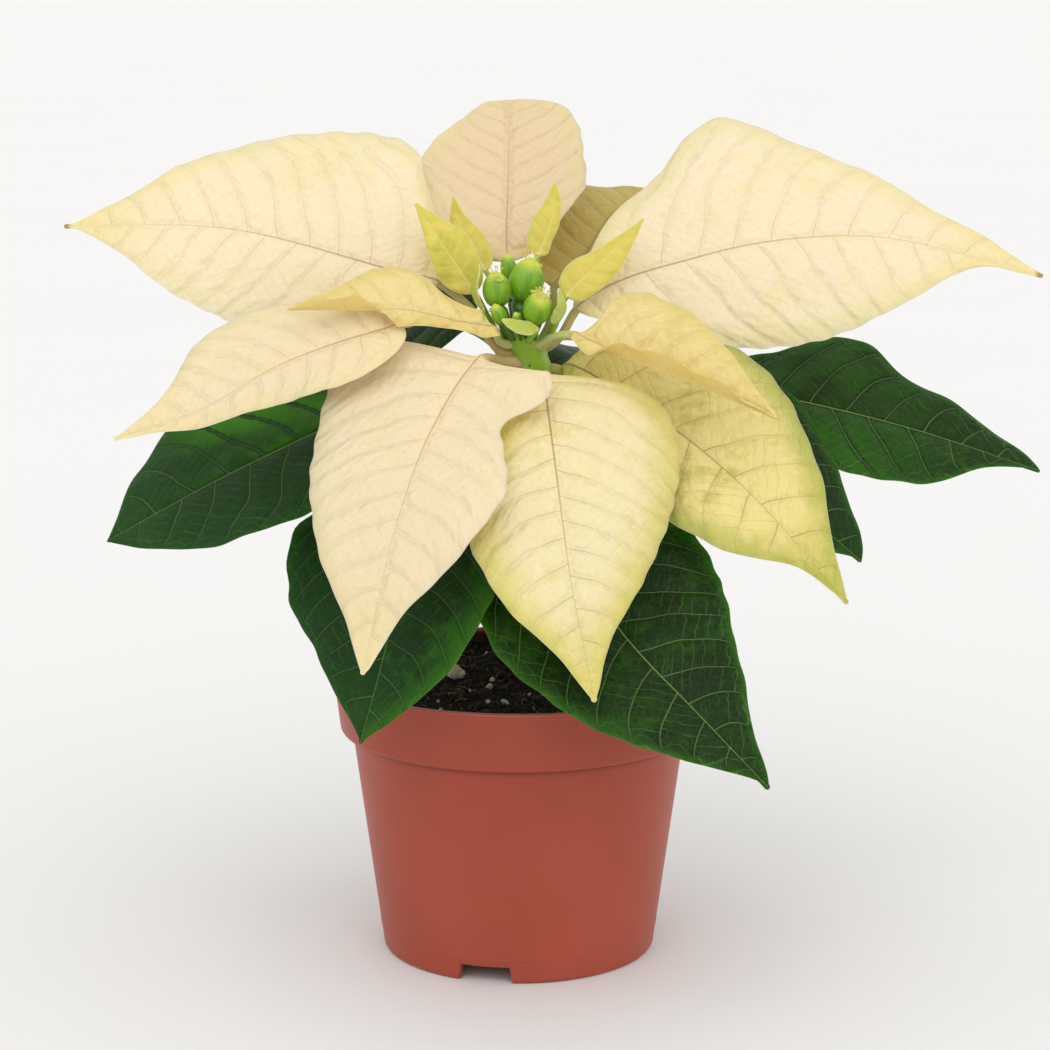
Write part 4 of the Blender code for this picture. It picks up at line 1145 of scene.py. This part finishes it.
def blade_surface(leaf, share, v, width):
    """Points and normals between the two skins: a point at v lies on a half that rises by the angle fold +
    curl v / 2, at width v from the midrib."""
    place, side, back = (part[:, None] for part in midrib(leaf, share[:, 0], False))
    halves = ([profile(half, share) for half in leaf.get(key, (0, 0))] for key in ("fold", "curl"))
    fold, curl = (np.where(v < 0, *half) for half in halves)
    start = np.minimum(1, 12 * share)
    reach = np.abs(v)
    angle = np.radians(fold + curl * reach / 2) * start
    slope = np.radians(fold + curl * reach) * start
    flat, high = (width * v * np.cos(angle))[..., None], (width * reach * np.sin(angle))[..., None]
    normal = back * np.cos(slope)[..., None] - side * (np.sign(v) * np.sin(slope))[..., None]
    return place + side * flat + back * high, normal


def leaf_shape(leaf, thick, quilt, grid, seed):
    """One leaf as a tube of rings: round about the petiole, then flat about the blade, top side first.

    The top and under sides stand off along the normal by the relief and half the thickness, which thins as
    1 - v^6; the midrib's rib stands out below, stalk (1 - share)^1.3 high, as exp(-(x / rib width)^2).
    """
    stalk = leaf.get("stalk", STALK)
    points, first, heel = midrib_points(leaf)
    steps = np.linalg.norm(np.diff(points, axis=0), axis=1)
    length, petiole_length = steps[first:].sum(), steps[:first].sum()
    widest = max(*leaf["left"], *leaf["right"])
    columns = max(9, round(widest / grid))
    v = np.linspace(-1, 1, 2 * columns + 1)
    v = v - 0.1 * np.sin(2 * np.pi * v)
    v = np.concatenate([v, v[-2:0:-1]])
    skin = np.sign(2.0 * columns - np.arange(len(v)))
    skin[0] = 0
    petiole, petiole_share = petiole_rings(leaf, v, skin, petiole_length, heel)

    u = np.linspace(0, 1, max(20, round(1.25 * length / grid)))
    u[-1] = 0.999
    share = (1 - np.cos(np.pi * u))[:, None] / 2
    width = blade_width(leaf, share, u, v, length, widest)
    surface, normal = blade_surface(leaf, share, v, width)
    left_count, right_count, gap = side_veins(leaf, length, share, v, width, seed)
    count = np.where(v < 0, left_count, right_count)
    relief = blade_relief(leaf, share, v, width, count, length, quilt * min(1, widest / 16), seed)
    half = thick / 2 * (1 - np.abs(v) ** 6)
    rib = np.maximum(stalk * (1 - share) ** 1.3 - thick / 2, 0)
    rib = rib * np.exp(-((v * width / (1.25 * stalk * (1 - 0.6 * share))) ** 2)) * np.sqrt(1 - v**2)
    rib = rib * np.where(skin > 0, 0.1 + 0.9 * (1 - ease(0, 0.07, share)), 1)
    blade = surface + normal * (relief + skin * (half + rib))[..., None]
    points, faces = tube(np.concatenate([petiole, blade]))
    faces = outward(points, faces)

    def whole(petiole_value, blade_value):
        """Numbers for the petiole's rings, the blade's rings and the two end points."""
        pairs = ((petiole_value, petiole), (blade_value, blade))
        rows = np.concatenate([np.broadcast_to(value, rings.shape[:2]) for value, rings in pairs])
        return np.concatenate([rows.ravel(), [rows[0].mean(), rows[-1].mean()]])

    over = ease(-0.1, 0.1, v)
    glow, panels = (a + (b - a) * over for a, b in (leaf.get("glow", (1, 1)), leaf.get("panels", (0, 0))))
    values = {
        "share": whole(petiole_share, share),
        "edge": whole(3.0, (1 - np.abs(v)) * width),
        "under": whole(0.0, (skin < 0) * ease(0, 0.03, share)),
        "gap": whole(8.0, gap),
        "glow": whole(0.0, glow),
        "panels": whole(0.0, panels * (1 - ease(0.45, 0.85, share))),
    }
    left_count, right_count = whole(20, left_count), whole(20.4, right_count)
    across = whole(np.abs(v) * stalk, np.abs(v) * width) / 10
    sides = whole(v, v)
    uv = []
    for group in faces:
        on_left = (sides[group].mean(axis=1) < 0)[:, None]
        count = np.where(on_left, left_count[group], right_count[group])
        uv.append(np.stack([count, across[group]], axis=-1).reshape(-1, 2))
    return points, faces, values, np.concatenate(uv)


def add_leaf(name, material, slot, thick, quilt, grid):
    """A leaf or bract that stands for its plain solid, its margin kept as a sharp edge."""
    seed = list(LEAVES).index(name) + 1
    points, faces, values, uv = leaf_shape(LEAVES[name], thick, quilt, grid, seed)
    piece = add_piece(name + "_blade", points, faces, material, [name], slot, values, uv)
    piece.data.set_sharp_from_angle(angle=math.radians(75))
    return piece


# --- flower buds ------------------------------------------------------------------------------------


def bud_axes(bud):
    """The bud's foot and tip, and the directions across, up-slope and along it."""
    base, tip = np.array(bud["base"], float), np.array(bud["tip"], float)
    ahead = unit(tip - base)
    side = unit(np.array([1.0, 0, 0]) - ahead[0] * ahead)
    return base, tip, side, np.cross(ahead, side), ahead


def bud_shape(bud):
    """A pedicel and a cup, as rings along the bud's axis. The cup's radius is its profile with five
    faint ribs, 1 + 0.035 cos 5t, and its mouth turns in over the last twentieth in five lobes."""
    base, tip, side, up, _ = bud_axes(bud)
    foot = np.array([*bud["foot"], STEM_TOP - 1.5])
    turn = full_turn(50)
    circle = np.stack([np.cos(turn), np.sin(turn)], axis=1)
    ring = circle[:, :1] * side + circle[:, 1:] * up
    share = np.linspace(0, 1, 10, endpoint=False)[:, None, None]
    stalk = foot + (base - foot) * share + ring * bud["pedicel"] * (0.7 + 0.3 * share)
    rise = np.linspace(0, 1, 34)
    heights, sizes = zip(*BUD_PROFILE)
    ribs = 1 + 0.035 * np.cos(5 * turn) * np.sin(np.pi * rise)[:, None]
    size = smooth(heights, sizes, rise)[:, None] * ribs
    size = size * (1 - 0.25 * ease(0.9, 1, rise)[:, None] * (1 + np.cos(5 * turn)) / 2)
    lift = rise[:, None] + 0.03 * np.cos(5 * turn) * ease(0.85, 1, rise)[:, None]
    cup = base + (tip - base) * lift[..., None] + ring * (bud["radius"] * size)[..., None]
    rings = np.concatenate([stalk, cup])
    rises = np.repeat(np.concatenate([np.full(len(share), -0.1), rise]), len(turn))
    across = np.vstack([np.tile(circle, (len(rings), 1)), np.zeros((2, 2))])
    values = {"rise": np.append(rises, [-0.1, 1]), "turn_x": across[:, 0], "turn_y": across[:, 1]}
    return *tube(rings), values


def stamen_shapes(threads):
    """Stamens at the buds' mouths: threads that fan out, bowed, 3 radii of the mouth long, and an anther
    lump on each end. threads scales how many there are."""
    rng = np.random.default_rng(8)
    t = np.linspace(0, 1, 6)
    rings = polar(1.0, full_turn(6), t[:, None])
    rings[..., :2] *= (1 - 0.35 * t)[:, None, None]
    rings[..., 0] += (6 * t * (1 - t))[:, None]
    thread, anther = tube(rings), lump(3)
    threads_made, anthers_made = [], []
    for bud in CYATHIA.values():
        count = round(bud["stamens"] * threads)
        if not count:
            continue
        _, tip, side, up, ahead = bud_axes(bud)
        turn = full_turn(count) + rng.uniform(-0.3, 0.3, count)
        out = np.cos(turn)[:, None] * side + np.sin(turn)[:, None] * up
        lean = unit(ahead + out * rng.uniform(0.1, 1.0, (count, 1)))
        across = unit(np.cross(lean, out))
        axes = np.stack([np.cross(across, lean), across, lean], axis=2)
        length = bud["radius"] * rng.uniform(0.45, 0.75, count)[:, None]
        start = tip - ahead * 0.8 + out * bud["radius"] * 0.16
        threads_made.append(copies(*thread, start, axes, np.hstack([np.full((count, 2), 0.13), length])))
        sizes = np.tile([0.26, 0.26, 0.338], (count, 1))
        anthers_made.append(copies(*anther, start + lean * length, axes, sizes))
    return joined(threads_made), joined(anthers_made)


def gland_shapes():
    """A nectar gland on each bud's shoulder: a small two-lipped bowl, turned from a profile."""
    radius, height = (part[:, None] for part in rounded(GLAND_PROFILE).T)
    turn = full_turn(22)
    bowl = tube(polar(radius, turn, height * (1 + 0.12 * np.cos(2 * turn) * height)))
    turns, places, sizes = [], [], []
    for bud in CYATHIA.values():
        base, tip, _, _, ahead = bud_axes(bud)
        out = heading_vector(bud["gland"])
        out = unit(out - (out @ ahead) * ahead)
        facing = unit(0.75 * out + 0.65 * ahead)
        across = np.cross(ahead, out)
        turns.append(np.stack([across, np.cross(facing, across), facing], axis=1))
        places.append(base + (tip - base) * 0.80 + out * bud["radius"] * 0.62)
        sizes.append(np.array([0.42, 0.26, 0.30]) * bud["radius"])
    return copies(*bowl, np.array(places), np.array(turns), np.array(sizes))


# --- settings ---------------------------------------------------------------------------------------


def colour(name, description, default):
    """A colour setting, scene-linear."""
    limits = dict(size=3, min=0, max=2, subtype="COLOR")
    return FloatVectorProperty(name=name, description=description, default=default, **limits)


def length(name, description, default, most):
    """A length setting: metres inside, given here in millimetres."""
    limits = dict(min=0, max=most * MM, unit="LENGTH", subtype="DISTANCE", precision=5)
    return FloatProperty(name=name, description=description, default=default * MM, **limits)


def number(name, description, default):
    """A whole number setting."""
    return IntProperty(name=name, description=description, default=default, min=0)


class PotSettings(bpy.types.PropertyGroup):
    """Sizes and colour of the pot."""

    plastic: colour("Plastic", "Colour of the moulded plastic", linear("A24936"))
    wave: length("Rim wave", "How far the thin rim waves", 0.25, 0.5)


class SoilSettings(bpy.types.PropertyGroup):
    """What lies on the soil."""

    peat: colour("Peat", "Colour of the damp peat", linear("0C0A09"))
    perlite: colour("Perlite", "Colour of the perlite grains", linear("E2D6BE"))
    grains: number("Perlite grains", "How many grains of perlite lie on the soil", 90)
    crumbs: number("Crumbs", "How many crumbs of peat and bark lie on the soil", 900)
    fibres: number("Fibres", "How many root threads lie on the soil", 70)


class StemSettings(bpy.types.PropertyGroup):
    """Colours of the stem."""

    young: colour("Young stem", "Bright green under the flower head", linear("8CB42E"))
    old: colour("Old stem", "Greyer green between the leaves", linear("7D8F6A"))


class LeafSettings(bpy.types.PropertyGroup):
    """Thickness, quilting and tint of one kind of leaf."""

    thickness: length("Thickness", "Thickness at the midrib", 0.5, 0.8)
    quilting: length("Quilting", "How far the tissue stands up between side veins", 0.4, 1.2)
    tint: colour("Tint", "Multiplies the colours of the leaf", (1, 1, 1))


class BudSettings(bpy.types.PropertyGroup):
    """Colours of the flower buds and how full their mouths are."""

    cup: colour("Cup", "Green of the cup", linear("7FAC1E"))
    mouth: colour("Mouth", "Yellow at the cup's mouth", linear("CDD24A"))
    gland: colour("Gland", "Nectar gland", linear("B9D24A"))
    stamens: FloatProperty(name="Stamens", description="Share of the stamens shown", default=1, min=0, max=3)


class StageSettings(bpy.types.PropertyGroup):
    """Floor, lights and camera."""

    floor: colour("Floor", "Colour of the floor", (0.86, 0.86, 0.86))
    key: FloatProperty(name="Key light", description="Strength of the large soft key", default=0.75, min=0)
    fill: FloatProperty(name="Fill light", description="Strength of the soft fill", default=0.3, min=0)
    sky: FloatProperty(name="Surroundings", description="Light from all round", default=0.9, min=0)
    lens: FloatProperty(name="Lens", description="Focal length", default=100, min=20, unit="CAMERA")


class PoinsettiaSettings(bpy.types.PropertyGroup):
    """All settings of the plant and its stage."""

    pot: PointerProperty(type=PotSettings)
    soil: PointerProperty(type=SoilSettings)
    stem: PointerProperty(type=StemSettings)
    leaves: PointerProperty(type=LeafSettings)
    bracts: PointerProperty(type=LeafSettings)
    bractlets: PointerProperty(type=LeafSettings)
    buds: PointerProperty(type=BudSettings)
    stage: PointerProperty(type=StageSettings)


# --- operators --------------------------------------------------------------------------------------


class Maker:
    """What all the operators share."""

    bl_options = {"REGISTER", "UNDO"}


class POINSETTIA_OT_pot(Maker, bpy.types.Operator):
    """Turned plastic pot with a stepped collar, a notched foot and drain holes"""

    bl_idname = "poinsettia.pot"
    bl_label = "Pot"

    def execute(self, context):
        settings = context.scene.poinsettia.pot
        points, faces = pot_shape(settings.wave / MM)
        plastic = pot_plastic(settings.plastic)
        pot = add_piece("pot_shell", points, faces, plastic, ["pot"], "terracotta_plastic")
        cut_out(pot, *drain_pegs())
        if len(pot.data.polygons) < len(faces[0]) / 2:
            raise RuntimeError("the drain holes could not be cut")
        return {"FINISHED"}


class POINSETTIA_OT_soil(Maker, bpy.types.Operator):
    """Potting soil with perlite grains, crumbs of peat and bark, and root threads"""

    bl_idname = "poinsettia.soil"
    bl_label = "Soil"

    def execute(self, context):
        settings = context.scene.poinsettia.soil
        add_piece("soil_top", *soil_shape(), potting_soil(settings.peat), ["soil"], "potting_soil")
        perlite = grain_material("perlite", settings.perlite, toned(settings.perlite, 0.72))
        grains = strewn(settings.grains, size=0.62, spread=0.4, flat=0.8, seed=31, first=LARGE_GRAINS)
        add_piece("soil_perlite", *grains, perlite, slot="potting_soil")
        bark = grain_material("bark_crumb", linear("4A3628"), linear("1C1512"))
        crumbs = strewn(settings.crumbs, size=0.75, spread=0.35, flat=0.6, seed=41)
        add_piece("soil_crumbs", *crumbs, bark, slot="potting_soil")
        root = grain_material("root_thread", linear("A88C66"), linear("5C4630"))
        add_piece("soil_fibres", *fibres(settings.fibres, seed=51), root, slot="potting_soil")
        return {"FINISHED"}


class POINSETTIA_OT_stem(Maker, bpy.types.Operator):
    """Green stem, swollen where each leaf joins it"""

    bl_idname = "poinsettia.stem"
    bl_label = "Stem"

    def execute(self, context):
        settings = context.scene.poinsettia.stem
        skin = stem_skin(settings.young, settings.old)
        add_piece("stem_skin", *stem_shape(), skin, ["stem"], "green_stem")
        return {"FINISHED"}


class POINSETTIA_OT_leaves(Maker, bpy.types.Operator):
    """Dark green leaves with pale veins"""

    bl_idname = "poinsettia.leaves"
    bl_label = "Green leaves"

    def execute(self, context):
        add_leaves(context.scene.poinsettia.leaves, "leaf_", "green_leaf", grid=1.25)
        return {"FINISHED"}


class POINSETTIA_OT_bracts(Maker, bpy.types.Operator):
    """Large and small cream bracts round the flower buds"""

    bl_idname = "poinsettia.bracts"
    bl_label = "Bracts"

    def execute(self, context):
        add_leaves(context.scene.poinsettia.bracts, "bract_", "cream_bract", grid=1.2)
        add_leaves(context.scene.poinsettia.bracts, "small_bract_", "cream_bract", grid=0.7)
        return {"FINISHED"}


class POINSETTIA_OT_bractlets(Maker, bpy.types.Operator):
    """Narrow yellow-green bractlets and the small bracts that cup the buds"""

    bl_idname = "poinsettia.bractlets"
    bl_label = "Bractlets"

    def execute(self, context):
        add_leaves(context.scene.poinsettia.bractlets, "bractlet_", "yellow_green_bract", grid=0.45)
        add_leaves(context.scene.poinsettia.bractlets, "cup_bract_", "yellow_green_bract", grid=0.3)
        return {"FINISHED"}


class POINSETTIA_OT_buds(Maker, bpy.types.Operator):
    """Flower buds with their pedicels, nectar glands and stamens"""

    bl_idname = "poinsettia.buds"
    bl_label = "Flower buds"

    def execute(self, context):
        settings = context.scene.poinsettia.buds
        skin = bud_skin(settings.cup, settings.mouth)
        for name, bud in CYATHIA.items():
            points, faces, values = bud_shape(bud)
            add_piece(name + "_cup", points, faces, skin, [name], "cyathium_green", values)
        dark = toned(settings.gland, 0.8)
        gland = waxy("nectar_gland", settings.gland, dark, 500, roughness=0.22, Coat_Weight=0.4)
        thread = waxy("stamen_thread", linear("E9E6B0"), linear("C9CF6A"))
        anther = waxy("anther", linear("F2E08A"), linear("D9B93C"), 1500, roughness=0.7)
        threads, anthers = stamen_shapes(settings.stamens)
        add_piece("nectar_glands", *gland_shapes(), gland, slot="cyathium_green")
        add_piece("stamen_threads", *threads, thread, slot="cyathium_green")
        add_piece("anthers", *anthers, anther, slot="cyathium_green")
        return {"FINISHED"}


class POINSETTIA_OT_stage(Maker, bpy.types.Operator):
    """Pale floor, soft studio light and the camera"""

    bl_idname = "poinsettia.stage"
    bl_label = "Stage"

    def execute(self, context):
        settings = context.scene.poinsettia.stage
        scene = context.scene
        scene.view_settings.view_transform = "Standard"
        add_floor(settings.floor)
        world = bpy.data.worlds.new("surroundings")
        world.use_nodes = True
        light = world.node_tree.nodes["Background"].inputs
        light["Color"].default_value = (1.0, 0.99, 0.97, 1)
        light["Strength"].default_value = settings.sky
        scene.world = world
        add_sun("key", KEY_FROM, settings.key, KEY_SPREAD)
        add_sun("fill", FILL_FROM, settings.fill, FILL_SPREAD)
        lens = bpy.data.cameras.new("camera")
        lens.lens = settings.lens
        lens.sensor_width = SENSOR_WIDTH
        lens.clip_start = 0.01
        camera = bpy.data.objects.new("camera", lens)
        camera.location = POT_AXIS + np.array(CAMERA_PLACE) * MM
        camera.rotation_euler = (math.radians(CAMERA_TILT), 0, 0)
        scene.collection.objects.link(camera)
        scene.camera = camera
        return {"FINISHED"}


def add_leaves(settings, start, slot, grid):
    """All leaves whose names begin with start, each with its own look, in one material per look."""
    materials = {}
    for name in [n for n in LEAVES if n.startswith(start)]:
        look = LEAVES[name]["look"]
        if look not in materials:
            materials[look] = blade_material(look, settings.tint)
        add_leaf(name, materials[look], slot, settings.thickness / MM, settings.quilting / MM, grid)


def add_floor(tone):
    """Floor: a level disc 22 m in radius, rings of points about the object."""
    points, (quads, caps) = tube(polar(np.array([0.5, 2, 6, 22])[:, None], full_turn(64)))
    mesh = bpy.data.meshes.new("floor")
    mesh.from_pydata(points[:-1], [], quads[:, ::-1].tolist() + caps[:64, ::-1].tolist())
    n = Nodes("pale_floor")
    mesh.materials.append(n.surface(n.mix(n.noise(n.place(), 3), toned(tone, 0.98), tuple(tone)), 0.7))
    floor = bpy.data.objects.new("floor", mesh)
    bpy.context.scene.collection.objects.link(floor)


def add_sun(name, source, strength, spread):
    """Soft distant light from a direction, spread over an angle in degrees."""
    sun = bpy.data.lights.new(name, "SUN")
    sun.energy = strength
    sun.angle = math.radians(spread)
    lamp = bpy.data.objects.new(name, sun)
    lamp.rotation_euler = Vector(source).to_track_quat("Z", "Y").to_euler()
    bpy.context.scene.collection.objects.link(lamp)


class POINSETTIA_PT_panel(bpy.types.Panel):
    """Makes the plant's pieces one by one"""

    bl_label = "Poinsettia"
    bl_idname = "POINSETTIA_PT_panel"
    bl_space_type = "VIEW_3D"
    bl_region_type = "UI"
    bl_category = "Poinsettia"

    def draw(self, context):
        settings = context.scene.poinsettia
        for operator in OPERATORS:
            box = self.layout.box()
            box.operator(operator.bl_idname)
            group = getattr(settings, operator.bl_idname.split(".")[1])
            for key in group.bl_rna.properties.keys():
                if key not in ("rna_type", "name"):
                    box.prop(group, key)


OPERATORS = (
    POINSETTIA_OT_pot,
    POINSETTIA_OT_soil,
    POINSETTIA_OT_stem,
    POINSETTIA_OT_leaves,
    POINSETTIA_OT_bracts,
    POINSETTIA_OT_bractlets,
    POINSETTIA_OT_buds,
    POINSETTIA_OT_stage,
)
GROUPS = (
    PotSettings,
    SoilSettings,
    StemSettings,
    LeafSettings,
    BudSettings,
    StageSettings,
    PoinsettiaSettings,
)
CLASSES = (*GROUPS, *OPERATORS, POINSETTIA_PT_panel)


def register():
    for cls in CLASSES:
        bpy.utils.register_class(cls)
    bpy.types.Scene.poinsettia = PointerProperty(type=PoinsettiaSettings)


def unregister():
    del bpy.types.Scene.poinsettia
    for cls in reversed(CLASSES):
        bpy.utils.unregister_class(cls)


def main():
    """Makes every piece."""
    register()
    for operator in OPERATORS:
        kind, name = operator.bl_idname.split(".")
        getattr(getattr(bpy.ops, kind), name)()


if __name__ == "__main__":
    main()
